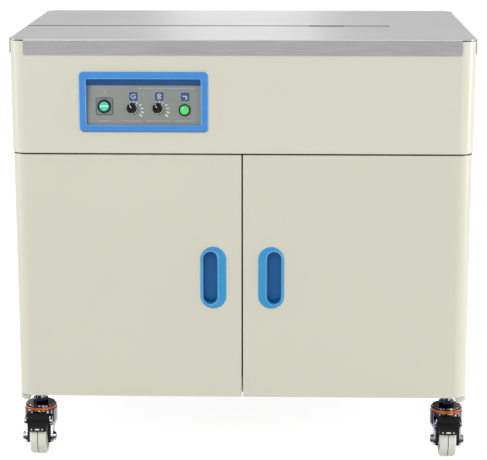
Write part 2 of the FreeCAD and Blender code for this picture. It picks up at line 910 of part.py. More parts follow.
def panel_plate():
    """The metal plate that carries the controls, with their holes."""
    half = bezel_opening_width / 2 + bezel_wall
    reach = panel_length / 2 + bezel_wall
    plate = box(-half, half, -reach, reach, -panel_thickness, 0)
    holes = [rod(knob_shaft_radius + running_gap, panel_thickness, x, -knob_below, -panel_thickness, Z_AXIS)
             for x in knob_places]
    holes.append(rod(rocker_radius + rocker_clearance, panel_thickness, switch_from_middle, switch_above,
                     -panel_thickness, Z_AXIS))
    holes.append(rod(button_radius + running_gap, panel_thickness, button_from_middle, -button_below,
                     -panel_thickness, Z_AXIS))
    return on_panel(plate.cut(holes))


def switch_frame():
    """The square plate and round collar of the power switch, with its body behind the panel."""
    half = switch_plate_width / 2
    plate = box(switch_from_middle - half, switch_from_middle + half, switch_above - half,
                switch_above + half, 0, switch_plate_thickness)
    plate = plate.makeFillet(switch_plate_corner, upright_edges(plate))
    collar = rod(switch_ring_radius, switch_plate_thickness + switch_ring_proud, switch_from_middle,
                 switch_above, 0, Z_AXIS)
    bore = rod(rocker_radius + rocker_clearance, switch_plate_thickness + switch_ring_proud,
               switch_from_middle, switch_above, 0, Z_AXIS)
    return on_panel(join([plate, collar]).cut(bore))


def rocker():
    """The lit rocker of the power switch, pressed in on its lower side."""
    middle = Vector(switch_from_middle, switch_above, switch_plate_thickness + rocker_lift)
    disc = rod(rocker_radius, rocker_thickness, switch_from_middle, switch_above,
               middle.z - rocker_thickness / 2, Z_AXIS)
    return on_panel(disc.rotate(middle, X_AXIS, rocker_tilt))


def knob(x):
    """A fluted dial knob with a skirt and the shaft that it turns."""
    skirt_disc = rod(knob_skirt_radius, knob_skirt_thickness, x, -knob_below, knob_stand_off, Z_AXIS)
    body = Part.makeCone(knob_radius, knob_top_radius, knob_height,
                         Vector(x, -knob_below, knob_stand_off + knob_skirt_thickness), Z_AXIS)
    flutes = []
    reach = knob_radius + knob_flute_radius / 2
    for index in range(knob_flute_count):
        angle = 2 * math.pi * index / knob_flute_count
        flutes.append(rod(knob_flute_radius, knob_height, x + reach * math.cos(angle),
                          -knob_below + reach * math.sin(angle), knob_stand_off + knob_skirt_thickness,
                          Z_AXIS))
    shaft = rod(knob_shaft_radius, panel_thickness + control_depth / 2 + knob_stand_off, x, -knob_below,
                -panel_thickness - control_depth / 2, Z_AXIS)
    return on_panel(join([skirt_disc, body.cut(flutes), shaft]))


def button_ring():
    """The collar of the push button."""
    return on_panel(pipe(button_ring_radius, button_radius + running_gap, button_ring_proud,
                         button_from_middle, -button_below, 0, Z_AXIS))


def button():
    """The lit lens of the push button."""
    inside = button_travel + button_inside
    return on_panel(rod(button_radius, button_proud + inside, button_from_middle, -button_below, -inside,
                        Z_AXIS))


def control_bodies():
    """The bodies behind the panel that the controls work in: two dials, a switch and a push button."""
    low = -panel_thickness - control_depth
    bodies = []
    for x in knob_places:
        body = rod(control_radius, control_depth, x, -knob_below, low, Z_AXIS)
        bore = rod(knob_shaft_radius + running_gap, control_depth / 2 + running_gap, x, -knob_below,
                   low + control_depth / 2 - running_gap, Z_AXIS)
        bodies.append(on_panel(body.cut(bore)))
    for x, y, bore_radius in ((switch_from_middle, switch_above, rocker_radius + rocker_clearance),
                              (button_from_middle, -button_below, button_radius + running_gap)):
        outer = bore_radius + bezel_wall
        body = rod(outer, control_depth, x, y, low, Z_AXIS)
        bore = rod(bore_radius, control_depth - bezel_wall, x, y, low + bezel_wall, Z_AXIS)
        bodies.append(on_panel(body.cut(bore)))
    return bodies


def control_board():
    """The circuit board behind the panel on its four posts, with a row of relays."""
    top = -panel_thickness - board_behind_panel
    board = box(-board_width / 2, board_width / 2, -board_height / 2, board_height / 2,
                top - board_thickness, top)
    relays = [box(x - relay_width / 2, x + relay_width / 2, -relay_height / 2, relay_height / 2,
                  top - board_thickness - relay_depth, top - board_thickness)
              for x in [(index - (relay_count - 1) / 2) * relay_pitch for index in range(relay_count)]]
    posts = [rod(board_post_radius, board_behind_panel, side * (board_width / 2 - board_post_inset),
                 end * (board_height / 2 - board_post_inset), top, Z_AXIS)
             for side in (-1, 1) for end in (-1, 1)]
    return on_panel(join([board] + relays + posts))


# Casters

def caster_place(side, at_front):
    """The upright axis that a caster swivels on."""
    y = front + caster_from_front if at_front else back - caster_from_back
    return side * (body_half - caster_from_side), y


caster_places = {
    "front_left": caster_place(-1, True),
    "front_right": caster_place(1, True),
    "rear_left": caster_place(-1, False),
    "rear_right": caster_place(1, False),
}


def hexagon(width, height, x, y, z, axis):
    """A hexagonal nut or head, its width across the corners, along an upright or a Y axis."""
    points = []
    for index in range(6):
        angle = math.radians(60 * index)
        u = width / 2 * math.cos(angle)
        v = width / 2 * math.sin(angle)
        points.append(Vector(x + u, y, z + v) if axis == Y_AXIS else Vector(x + u, y + v, z))
    return prism(points, Vector(axis).multiply(height))


def caster_stem(x, y):
    """The bolt of a caster with its nut, collar and upper disc."""
    race_top = fork_crown_high + running_gap + race_height
    disc_top = race_top + disc_thickness
    disc = rod(disc_radius, disc_thickness, x, y, race_top, Z_AXIS)
    nut = hexagon(caster_nut_width, caster_nut_height, x, y, disc_top, Z_AXIS)
    collar = rod(stem_collar_radius, foot_low - disc_top - caster_nut_height, x, y,
                 disc_top + caster_nut_height, Z_AXIS)
    bolt = rod(stem_radius, foot_top - fork_crown_low, x, y, fork_crown_low, Z_AXIS)
    return join([disc, nut, collar, bolt])


def caster_race(x, y):
    """The bearing race between a caster's fork and its upper disc."""
    return pipe(race_radius, stem_radius, race_height, x, y, fork_crown_high + running_gap, Z_AXIS)


def fork_leg_plate(x, y, side, with_ears):
    """One leg of a fork: a plate that tapers to the axle, with an ear for the pedal where there is one."""
    axle_y = y - caster_trail
    inner = side * fork_leg_gap / 2
    outer = side * (fork_leg_gap / 2 + fork_leg)
    start = x + min(inner, outer)
    reach = math.sqrt(fork_leg_end_radius ** 2 / 2)
    plate = prism([Vector(start, y - fork_leg_root / 2, fork_crown_low + fork_crown_wall),
                   Vector(start, axle_y - fork_leg_end_radius, wheel_radius),
                   Vector(start, axle_y, wheel_radius),
                   Vector(start, axle_y + reach, wheel_radius - reach),
                   Vector(start, y + fork_leg_root / 2, fork_crown_low + fork_crown_wall)],
                  Vector(fork_leg, 0, 0))
    end = rod(fork_leg_end_radius, fork_leg, start, axle_y, wheel_radius, X_AXIS)
    shapes = [plate, end]
    if with_ears:
        ear_y = y - pedal_pin_from_axis
        shapes.append(rod(pedal_ear_radius, fork_leg, start, ear_y, pedal_pin_height, X_AXIS))
        shapes.append(box(start, start + fork_leg, ear_y, y, pedal_pin_height - pedal_ear_radius,
                          pedal_pin_height + pedal_ear_radius))
    return join(shapes)


def fork_bell(x, y, shrink):
    """The solid bell that the fork's shoulders are cut from, made smaller by the wall for its inside."""
    high = fork_crown_low + shrink
    drum = rod(fork_crown_radius - shrink, high - fork_shoulder_low, x, y, fork_shoulder_low, Z_AXIS)
    neck = Part.makeCone(fork_leg_gap / 2 + fork_leg - shrink, fork_crown_radius - shrink,
                         fork_shoulder_low - fork_shoulder_end, Vector(x, y, fork_shoulder_end), Z_AXIS)
    return join([drum, neck])


def fork_shoulder(x, y, side):
    """The rounded shoulder that runs from a fork's crown into one leg."""
    shell = fork_bell(x, y, 0).cut(fork_bell(x, y, fork_crown_wall))
    reach = fork_crown_radius + overrun
    room = box(x + side * fork_shoulder_from_axis, x + side * reach, y - reach, y + reach,
               fork_shoulder_end, fork_crown_low)
    return shell.common(room)


def fork(x, y, with_ears):
    """The turning fork of a caster: a round crown and two legs."""
    crown = rod(fork_crown_radius, fork_crown_high - fork_crown_low, x, y, fork_crown_low, Z_AXIS)
    hollow = rod(fork_crown_radius - fork_crown_wall, fork_crown_high - fork_crown_low - fork_crown_wall,
                 x, y, fork_crown_low, Z_AXIS)
    legs = [fork_leg_plate(x, y, side, with_ears) for side in (-1, 1)]
    legs += [fork_shoulder(x, y, side) for side in (-1, 1)]
    width = fork_leg_gap + 2 * fork_leg
    start = x - width / 2
    holes = [rod(stem_radius + running_gap, fork_crown_high, x, y, fork_crown_low - overrun, Z_AXIS),
             rod(axle_radius, width, start, y - caster_trail, wheel_radius, X_AXIS)]
    if with_ears:
        holes.append(rod(pedal_pin_radius + running_gap, width, start, y - pedal_pin_from_axis,
                         pedal_pin_height, X_AXIS))
    return join([crown.cut(hollow)] + legs).cut(holes)


def wheel(x, y):
    """A plastic wheel with a groove round its tread, recessed faces and a bore."""
    start = x - wheel_width / 2
    axle_y = y - caster_trail
    tread = rod(wheel_radius, wheel_width, start, axle_y, wheel_radius, X_AXIS)
    rims = [edge for edge in tread.Edges if edge.BoundBox.XLength < running_gap]
    tread = tread.makeFillet(wheel_round, rims)
    groove = pipe(wheel_radius + overrun, wheel_radius - wheel_groove_depth, wheel_groove_width,
                  x - wheel_groove_width / 2, axle_y, wheel_radius, X_AXIS)
    recesses = [pipe(wheel_radius - 2 * wheel_round, axle_collar_radius + wheel_hub_recess,
                     wheel_hub_recess, place, axle_y, wheel_radius, X_AXIS)
                for place in (start, start + wheel_width - wheel_hub_recess)]
    bore = rod(axle_radius + running_gap, wheel_width, start, axle_y, wheel_radius, X_AXIS)
    return tread.cut([groove, bore] + recesses)


def axle(x, y):
    """A wheel's axle with its collars inside the fork and its nuts outside."""
    half = fork_leg_gap / 2
    axle_y = y - caster_trail
    length = 2 * (half + fork_leg + axle_nut_thickness)
    shapes = [rod(axle_radius, length, x - length / 2, axle_y, wheel_radius, X_AXIS)]
    collar_length = half - wheel_width / 2 - running_gap
    for start in (x - half, x + half - collar_length):
        shapes.append(rod(axle_collar_radius, collar_length, start, axle_y, wheel_radius, X_AXIS))
    for start in (x - length / 2, x + length / 2 - axle_nut_thickness):
        shapes.append(rod(axle_nut_radius, axle_nut_thickness, start, axle_y, wheel_radius, X_AXIS))
    return join(shapes)


def pedal_front_view(x, y):
    """The pedal as seen from the front, narrower towards the floor, swept over its depth."""
    wide = pedal_width / 2
    narrow = pedal_foot_width / 2
    depth = y - caster_trail - wheel_radius - pedal_clearance - pedal_thickness - overrun
    high = pedal_top_height + overrun
    low = wheel_radius + (wheel_radius + pedal_clearance) * math.sin(math.radians(pedal_low_angle)) - overrun
    points = [(-wide, high), (-narrow, low), (narrow, low), (wide, high)]
    return prism([Vector(x + across, depth, z) for across, z in points], Vector(0, y - depth, 0))


def pedal_side_view(start, y):
    """The pedal's outline from the side: a curved hood that rises in front of the fork's crown."""
    axle_y = y - caster_trail
    inner = wheel_radius + pedal_clearance
    outer = inner + pedal_thickness
    middle_angle = (pedal_low_angle + pedal_high_angle) / 2

    def polar(radius, angle):
        turn = math.radians(angle)
        return Vector(start, axle_y - radius * math.cos(turn), wheel_radius + radius * math.sin(turn))

    outer_low, outer_middle, outer_high = [polar(outer, angle)
                                           for angle in (pedal_low_angle, middle_angle, pedal_high_angle)]
    inner_low, inner_middle, inner_high = [polar(inner, angle)
                                           for angle in (pedal_low_angle, middle_angle, pedal_high_angle)]
    top_front = Vector(start, y - pedal_top_from_axis - pedal_thickness, pedal_top_height)
    top_back = Vector(start, y - pedal_top_from_axis, pedal_top_height)
    return Part.Face(Part.Wire([
        Part.Arc(outer_low, outer_middle, outer_high).toShape(),
        Part.makeLine(outer_high, top_front),
        Part.makeLine(top_front, top_back),
        Part.makeLine(top_back, inner_high),
        Part.Arc(inner_high, inner_middle, inner_low).toShape(),
        Part.makeLine(inner_low, outer_low),
    ]))


def brake_pedal(x, y):
    """The foot pedal over a front wheel, with the hub and the pin that it turns on."""
    start = x - pedal_width / 2
    hood = pedal_side_view(start, y).extrude(Vector(pedal_width, 0, 0)).common(pedal_front_view(x, y))
    length = fork_leg_gap + 2 * fork_leg
    pin_y = y - pedal_pin_from_axis
    pin = rod(pedal_pin_radius, length, x - length / 2, pin_y, pedal_pin_height, X_AXIS)
    hub = rod(pedal_thickness, pedal_width, start, pin_y, pedal_pin_height, X_AXIS)
    clear = rod(wheel_radius + overrun, pedal_width, start, y - caster_trail, wheel_radius, X_AXIS)
    return join([hood, hub.cut(clear), pin])


# Strap reel

def reel_flange_disc(y):
    """A flange of the reel with its round windows and its bore."""
    disc = rod(reel_flange_radius, reel_flange, reel_from_middle, y, reel_height, Y_AXIS)
    holes = [rod(reel_shaft_radius + running_gap, reel_flange, reel_from_middle, y, reel_height, Y_AXIS)]
    for index in range(reel_spoke_count):
        angle = 2 * math.pi * index / reel_spoke_count
        x = reel_from_middle + reel_hole_circle * math.cos(angle)
        z = reel_height + reel_hole_circle * math.sin(angle)
        holes.append(rod(reel_hole_radius, reel_flange, x, y, z, Y_AXIS))
    return disc.cut(holes)


def reel_drum():
    """The drum that the strap coil sits on, with its spoked hub and rear flange."""
    y = reel_front + reel_flange
    shell = pipe(reel_drum_radius, reel_drum_radius - reel_drum_wall, reel_inner_width, reel_from_middle, y,
                 reel_height, Y_AXIS)
    hub = rod(reel_hub_radius, reel_inner_width, reel_from_middle, y, reel_height, Y_AXIS)
    spokes = []
    for index in range(reel_spoke_count):
        spoke = box(0, reel_drum_radius - reel_drum_wall / 2, y, y + reel_inner_width, -reel_spoke / 2,
                    reel_spoke / 2)
        spoke = spoke.rotate(Vector(0, 0, 0), Y_AXIS, (index + 1 / 2) * 360 / reel_spoke_count)
        spokes.append(spoke.translate(Vector(reel_from_middle, 0, reel_height)))
    rear = reel_flange_disc(y + reel_inner_width)
    bore = rod(reel_shaft_radius + running_gap, reel_inner_width + 2 * reel_flange, reel_from_middle,
               reel_front, reel_height, Y_AXIS)
    return join([shell, hub] + spokes + [rear]).cut(bore)


def reel_nut():
    """The lobed hand nut that keeps the reel on its shaft."""
    y = reel_front - running_gap - reel_nut_thickness
    body = rod(reel_nut_radius - reel_nut_lobe_radius / 2, reel_nut_thickness, reel_from_middle, y,
               reel_height, Y_AXIS)
    reach = reel_nut_radius - reel_nut_lobe_radius
    lobes = []
    for index in range(reel_nut_lobes):
        angle = 2 * math.pi * index / reel_nut_lobes
        x = reel_from_middle + reach * math.cos(angle)
        z = reel_height + reach * math.sin(angle)
        lobes.append(rod(reel_nut_lobe_radius, reel_nut_thickness, x, y, z, Y_AXIS))
    bore = rod(reel_shaft_radius + running_gap, reel_nut_thickness, reel_from_middle, y, reel_height,
               Y_AXIS)
    return join([body] + lobes).cut(bore)


def stand_web(x, y):
    """A corner web between the stand's upright and its foot."""
    low = floor_top + stand_thickness
    return prism([Vector(x, y, low), Vector(x, y + stand_foot, low), Vector(x, y, low + 2 * stand_foot)],
                 Vector(stand_thickness, 0, 0))


def brake_pivot(y):
    """The pin that the reel's brake lever turns on, with its cap, from the stand's face forwards."""
    arm_front = y - running_gap - brake_arm_thickness
    pin = rod(brake_pivot_radius, y - arm_front + running_gap, brake_pivot_x, arm_front - running_gap,
              brake_arm_middle, Y_AXIS)
    cap = rod(brake_cap_radius, brake_cap_thickness, brake_pivot_x,
              arm_front - running_gap - brake_cap_thickness, brake_arm_middle, Y_AXIS)
    return join([pin, cap])


def reel_stand():
    """The upright behind the reel, with its foot, the reel's shaft and the brake's pivot."""
    x0 = reel_from_middle - stand_width / 2
    x1 = reel_from_middle + stand_width / 2
    y0 = reel_back + stand_behind_reel
    y1 = y0 + stand_thickness
    plate = box(x0, x1, y0, y1, floor_top, reel_height + stand_above_shaft)
    foot = box(x0, x1, y0, y1 + stand_foot, floor_top, floor_top + stand_thickness)
    webs = [stand_web(x, y1) for x in (x0, x1 - stand_thickness)]
    shaft_front = reel_front - running_gap - reel_nut_thickness - reel_shaft_end
    shaft = rod(reel_shaft_radius, y0 - shaft_front, reel_from_middle, shaft_front, reel_height, Y_AXIS)
    boss = rod(stand_boss_radius, stand_behind_reel - running_gap, reel_from_middle,
               reel_back + running_gap, reel_height, Y_AXIS)
    return join([plate, foot] + webs + [shaft, boss, brake_pivot(y0)])


def reel_brake():
    """The lever over the reel that rests its pad on the rear flange."""
    y1 = reel_back + stand_behind_reel - running_gap
    y0 = y1 - brake_arm_thickness
    arm = box(reel_from_middle - brake_arm_left, brake_pivot_x + brake_arm_right, y0, y1, brake_arm_low,
              brake_arm_low + brake_arm_height)
    pad = box(reel_from_middle - brake_pad_length / 2, reel_from_middle + brake_pad_length / 2,
              reel_back - reel_flange, y1, brake_arm_low - brake_pad_depth, brake_arm_low)
    bore = rod(brake_pivot_radius + running_gap, brake_arm_thickness, brake_pivot_x, y0,
               brake_arm_middle, Y_AXIS)
    return join([arm, pad]).cut(bore)


# Sealing head

gripper_places = [head_middle + (index - (gripper_count - 1) / 2) * gripper_pitch
                  for index in range(gripper_count)]
gripper_top = table_height - gripper_top_below_table
gripper_foot = camshaft_height + cam_radius + cam_gap
block_top = table_height - block_top_below_table
head_top = table_height - head_top_below_table
slide_plate_top = table_height - slide_plate_below_table
slide_plate_low = slide_plate_top - slide_plate_thickness


def head_side_plate(x, height, shaft_heights):
    """An upright plate of the head across the strap line, bored for the shafts that pass it."""
    plate = box(x, x + head_plate, strap_line - head_half_depth, strap_line + head_half_depth,
                head_top - height, head_top)
    bosses = [rod(bearing_radius, head_plate, x, strap_line, z, X_AXIS) for z, radius in shaft_heights]
    holes = [rod(radius + running_gap, head_plate, x, strap_line, z, X_AXIS) for z, radius in shaft_heights]
    return join([plate] + bosses).cut(holes)


def bearing(x):
    """A flanged bearing of the camshaft on the outside of a side plate."""
    return pipe(bearing_radius, camshaft_radius + running_gap, bearing_width, x, strap_line,
                camshaft_height, X_AXIS)


def bridge(x):
    """A hollow bar from the front rail to the rear rail that the head hangs from."""
    top = table_height - bridge_top_below_table
    y0 = post_front + tube
    y1 = post_back - tube
    inner = box(x + tube_wall, x + bridge_width - tube_wall, y0, y1, top - bridge_height + tube_wall,
                top - tube_wall)
    return box(x, x + bridge_width, y0, y1, top - bridge_height, top).cut(inner)


def gripper_block():
    """The guide block with an upright pocket for each gripper."""
    half = gripper_depth / 2 + block_wall
    low = block_top - block_height
    block = box(head_left, head_right, strap_line - half, strap_line + half, low, block_top)
    pockets = [centred_box(x, strap_line, low - overrun, block_top + overrun,
                           gripper_width + 2 * gripper_clearance, gripper_depth + 2 * gripper_clearance)
               for x in gripper_places]
    return block.cut(pockets)


def slide_rails():
    """The rails under the slide plate, cut through for the strap, and the heater's shelf between them."""
    half = gripper_depth / 2 + block_wall
    gate = groove_width / 2 + strap_gate_clearance
    rear = strap_line + slide_plate_width / 2 + slide_plate_travel + shelf_margin
    spans = ((strap_line - half, strap_line - gate), (strap_line + gate, rear - overrun))
    rails = [box(x, x + rail_width, y0, y1, block_top, slide_plate_low - running_gap)
             for x in (head_left, head_right - rail_width) for y0, y1 in spans]
    shelf = box(head_left, head_right, strap_line + half, rear, block_top - shelf_thickness, block_top)
    return rails + [shelf]


def head_frame():
    """The fixed pieces of the head."""
    cam_bore = (camshaft_height, camshaft_radius)
    motor_bore = (motor_height, motor_shaft_radius)
    left = head_side_plate(head_left - head_plate, head_left_plate_height, [cam_bore])
    right = head_side_plate(head_right, head_right_plate_height, [cam_bore, motor_bore])
    bridges = [bridge(head_left - head_plate - bridge_width), bridge(head_right + head_plate)]
    return [left, right, bearing(head_left - head_plate - bearing_width)] + bridges + [gripper_block()]


def gripper(x):
    """An upright jaw with a notched top that clamps the strap from below."""
    jaw = centred_box(x, strap_line, gripper_foot, gripper_top, gripper_width, gripper_depth)
    pitch = gripper_width / gripper_notch_count
    low = strap_line - gripper_depth / 2 - overrun
    notches = []
    for index in range(gripper_notch_count):
        start = x - gripper_width / 2 + index * pitch
        outline = [Vector(start, low, gripper_top),
                   Vector(start + pitch / 2, low, gripper_top - gripper_serration),
                   Vector(start + pitch, low, gripper_top)]
        notches.append(prism(outline, Vector(0, gripper_depth + 2 * overrun, 0)))
    return jaw.cut(notches)


def press_head(x):
    """The flat jaw in the middle that presses the joint."""
    return centred_box(x, strap_line, gripper_foot, gripper_top, gripper_width, gripper_depth)


def grippers():
    """The notched jaws at both ends with the flat press between them."""
    first, *inner, last = gripper_places
    return [gripper(first), gripper(last)] + [press_head(x) for x in inner]


def slide_plate():
    """The plate over the jaws that the strap is sealed under."""
    return box(head_left + slide_plate_end_gap, head_right - slide_plate_end_gap,
               strap_line - slide_plate_width / 2, strap_line + slide_plate_width / 2,
               slide_plate_low, slide_plate_top)


def heater():
    """The heater: a block on the shelf and a thin blade that goes in over the jaws."""
    y0 = strap_line + gripper_depth / 2 + heater_clearance + heater_travel
    y1 = y0 + heater_block_depth
    low = block_top + running_gap
    block = box(head_middle - heater_block_width / 2, head_middle + heater_block_width / 2, y0, y1, low,
                low + heater_block_height)
    blade_top = low + heater_block_height + heater_blade
    blade = box(head_middle - heater_blade_width / 2, head_middle + heater_blade_width / 2,
                y0 - heater_blade_length, y1, blade_top - heater_blade, blade_top)
    return join([block, blade])


def cam(x):
    """A cam whose edge rises evenly, stays out, and comes back evenly."""
    points = []
    for index in range(int(360 / cam_step_angle)):
        angle = index * cam_step_angle
        if angle <= cam_lift_angle:
            share = angle / cam_lift_angle
        elif angle <= cam_dwell_angle:
            share = 1
        elif angle <= cam_return_angle:
            share = (cam_return_angle - angle) / (cam_return_angle - cam_dwell_angle)
        else:
            share = 0
        radius = cam_radius + gripper_lift * share
        turn = math.radians(90 - angle)
        points.append(Vector(x - cam_thickness / 2, strap_line + radius * math.cos(turn),
                             camshaft_height + radius * math.sin(turn)))
    bore = rod(camshaft_radius, cam_thickness, x - cam_thickness / 2, strap_line, camshaft_height, X_AXIS)
    return prism(points, Vector(cam_thickness, 0, 0)).cut(bore)


def camshaft():
    """The shaft that carries the cams and the large pulley."""
    start = head_left - head_plate - bearing_width
    length = pulley_start + pulley_width - start
    return rod(camshaft_radius, length, start, strap_line, camshaft_height, X_AXIS)


def pulley(radius, z, bore_radius):
    """A belt pulley with two rims, on a shaft along X."""
    wheel_body = rod(radius, pulley_width, pulley_start, strap_line, z, X_AXIS)
    rims = [rod(radius + pulley_rim, pulley_rim_width, x, strap_line, z, X_AXIS)
            for x in (pulley_start, pulley_start + pulley_width - pulley_rim_width)]
    shape = join([wheel_body] + rims)
    if bore_radius:
        shape = shape.cut(rod(bore_radius, pulley_width, pulley_start, strap_line, z, X_AXIS))
    return shape


def motor_pulley():
    """The small pulley with the motor's shaft."""
    shaft = rod(motor_shaft_radius, pulley_start - head_right, head_right, strap_line, motor_height, X_AXIS)
    return join([pulley(motor_pulley_radius, motor_height, 0), shaft])


def belt_outline(grow):
    """The loop round both pulleys, as a face across the shafts."""
    x = pulley_start + pulley_rim_width + belt_clearance
    large = cam_pulley_radius + belt_clearance + grow
    small = motor_pulley_radius + belt_clearance + grow
    lean = math.asin((large - small) / motor_drop)

    def at(radius, angle, z):
        return Vector(x, strap_line + radius * math.cos(angle), z + radius * math.sin(angle))

    right_top = at(large, -lean, camshaft_height)
    left_top = at(large, math.pi + lean, camshaft_height)
    right_low = at(small, -lean, motor_height)
    left_low = at(small, math.pi + lean, motor_height)
    return Part.Face(Part.Wire([
        Part.Arc(right_top, at(large, math.pi / 2, camshaft_height), left_top).toShape(),
        Part.makeLine(left_top, left_low),
        Part.Arc(left_low, at(small, -math.pi / 2, motor_height), right_low).toShape(),
        Part.makeLine(right_low, right_top),
    ]))


def drive_belt():
    """The belt between the motor's pulley and the camshaft's pulley."""
    width = Vector(pulley_width - 2 * (pulley_rim_width + belt_clearance), 0, 0)
    return belt_outline(belt_thickness).extrude(width).cut(belt_outline(0).extrude(width))


def drive_motor():
    """The gear motor under the head: a square gear head, a finned body and an end cap."""
    gear_start = head_right - gearhead_length
    gear = box(gear_start, head_right, strap_line - gearhead_width / 2, strap_line + gearhead_width / 2,
               motor_height - gearhead_width / 2, motor_height + gearhead_width / 2)
    gear = gear.makeFillet(gearhead_round, [edge for edge in gear.Edges
                                            if abs(edge.tangentAt(edge.FirstParameter).x) > straight_share])
    body_start = gear_start - motor_length
    body = rod(motor_radius - motor_fin_height, motor_length, body_start, strap_line, motor_height, X_AXIS)
    fins = []
    for index in range(motor_fin_count):
        fin = box(body_start, gear_start, -motor_fin_width / 2, motor_fin_width / 2, motor_radius / 2,
                  motor_radius)
        fin = fin.rotate(Vector(0, 0, 0), X_AXIS, index * 360 / motor_fin_count)
        fins.append(fin.translate(Vector(0, strap_line, motor_height)))
    cap = rod(motor_cap_radius, motor_cap_length, body_start - motor_cap_length, strap_line, motor_height,
              X_AXIS)
    return join([gear, body, cap] + fins)


# Feed rollers

feed_plate_right = head_left - head_plate
feed_plate_y = strap_line + feed_plate_behind_strap
feed_x = feed_plate_right - feed_roller_from_plate
guide_x = feed_plate_right - guide_roller_from_plate
feed_z = table_height - feed_roller_below_table
pinch_z = feed_z - feed_roller_radius - pinch_roller_radius - roller_nip
guide_z = table_height - guide_roller_below_table
roller_places = {
    "feed_roller": (feed_x, feed_z, feed_roller_radius),
    "pinch_roller": (feed_x, pinch_z, pinch_roller_radius),
    "guide_roller": (guide_x, guide_z, guide_roller_radius),
}


def roller(x, z, radius):
    """A strap roller with its bore, turning on a pin of the feed plate."""
    y0 = feed_plate_y - running_gap - roller_width
    return pipe(radius, roller_axle_radius + running_gap, roller_width, x, y0, z, Y_AXIS)


def feed_plate():
    """The plate beside the head with the pins that the rollers turn on."""
    top = table_height - feed_plate_top_below_table
    plate = box(feed_plate_right - feed_plate_width, feed_plate_right, feed_plate_y,
                feed_plate_y + feed_plate_thickness, top - feed_plate_height, top)
    pins = []
    length = roller_width + 2 * running_gap
    cap_y = feed_plate_y - length - roller_cap_thickness
    for x, z, radius in roller_places.values():
        pins.append(rod(roller_axle_radius, length, x, feed_plate_y - length, z, Y_AXIS))
        pins.append(rod(roller_cap_radius, roller_cap_thickness, x, cap_y, z, Y_AXIS))
    return join([plate] + pins)


# Electrical pieces and the rear fitting

def transformer():
    """A transformer on its base: the iron core and the coil round its middle limb."""
    y = back - transformer_from_back
    low = floor_top + transformer_base
    base = centred_box(transformer_from_middle, y, floor_top, low,
                       transformer_width + 2 * transformer_base_margin, transformer_depth)
    core = centred_box(transformer_from_middle, y, low, low + transformer_height, transformer_width,
                       transformer_depth / 2)
    limb = transformer_width * transformer_limb_share
    coil = centred_box(transformer_from_middle, y, low + limb, low + transformer_height - limb,
                       transformer_width - 2 * limb, transformer_depth / 2 + 2 * transformer_coil_bulge)
    return join([base, core, coil])


def cable_gland():
    """The gland that the mains lead comes in through."""
    inside = post_back - gland_nut_length
    shapes = [hexagon(gland_hex, gland_hex_length, gland_x, back, gland_height, Y_AXIS),
              rod(gland_radius, gland_length, gland_x, back, gland_height, Y_AXIS),
              rod(gland_thread_radius, sheet, gland_x, post_back, gland_height, Y_AXIS),
              hexagon(gland_hex, gland_nut_length, gland_x, inside, gland_height, Y_AXIS)]
    bore = rod(gland_bore, gland_nut_length + sheet + gland_length, gland_x, inside, gland_height, Y_AXIS)
    return join(shapes).cut(bore)


# The sub-parts by name

def build():
    """Make every sub-part and write it."""
    os.makedirs("parts", exist_ok=True)
    save("table_top", table_sheets() + [strap_channel(), strap_chute()])
    save("table_buffers", buffers())
    save("table_hinge_base", [hinge_base(middle) for middle in hinge_places])
    save("table_hinge_flap", [hinge_flap(middle) for middle in hinge_places])
    save("cabinet_frame", cabinet_frame())
    save("base_frame", base_frame())
    save("corner_feet", [corner_foot(side, at_front) for side in (-1, 1) for at_front in (True, False)])
    save("floor_tray", [floor_tray()])
    save("left_side_panel", [side_panel(-1)])
    save("right_side_panel", [side_panel(1)])
    save("back_panel", [back_panel()])
    save("upper_cover", [upper_cover()])
    save("door_hinge_pins", hinge_pins())
    save("door_catches", [door_catch(side) for side in (-1, 1)])
    for side, word in ((-1, "left"), (1, "right")):
        save(word + "_door", [door(side)])
        save(word + "_handle", [handle(side)])
    save("panel_bezel", [panel_bezel()])
    save("panel_plate", [panel_plate()])
    save("power_switch_frame", [switch_frame()])
    save("power_rocker", [rocker()])
    for name, x in zip(("feed_knob", "tension_knob"), knob_places):
        save(name, [knob(x)])
    save("reset_button_ring", [button_ring()])
    save("reset_button", [button()])
    save("control_board", [control_board()] + control_bodies())
    save("caster_stems", [caster_stem(x, y) for x, y in caster_places.values()])
    save("caster_races", [caster_race(x, y) for x, y in caster_places.values()])
    for corner, (x, y) in caster_places.items():
        braked = corner.startswith("front")
        save("caster_fork_" + corner, [fork(x, y, braked), axle(x, y)])
        save("caster_wheel_" + corner, [wheel(x, y)])
        if braked:
            save("caster_brake_" + corner, [brake_pedal(x, y)])
    save("reel_stand", [reel_stand()])
    save("reel_drum", [reel_drum()])
    save("reel_front_flange", [reel_flange_disc(reel_front)])
    save("reel_hand_nut", [reel_nut()])
    save("reel_brake_arm", [reel_brake()])
    save("head_frame", head_frame() + slide_rails())
    save("grippers", grippers())
    save("slide_plate", [slide_plate()])
    save("heater", [heater()])
    save("cam_shaft", [camshaft()])
    save("cams", [cam(x) for x in gripper_places])
    save("cam_pulley", [pulley(cam_pulley_radius, camshaft_height, camshaft_radius)])
    save("motor_pulley", [motor_pulley()])
    save("drive_belt", [drive_belt()])
    save("drive_motor", [drive_motor()])
    save("feed_plate", [feed_plate()])
    for name, (x, z, radius) in roller_places.items():
        save(name, [roller(x, z, radius)])
    save("transformer", [transformer()])
    save("cable_gland", [cable_gland()])


build()
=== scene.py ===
"""Looks of a semi-automatic strapping machine: finishes, controls, casters, inner works, floor, lights and camera."""

from __future__ import annotations

import json
import logging
import math
import sys
from abc import ABC, abstractmethod
from dataclasses import dataclass, field
from enum import Enum
from typing import Iterable, Sequence

import bmesh
import bpy
from mathutils import Matrix, Vector

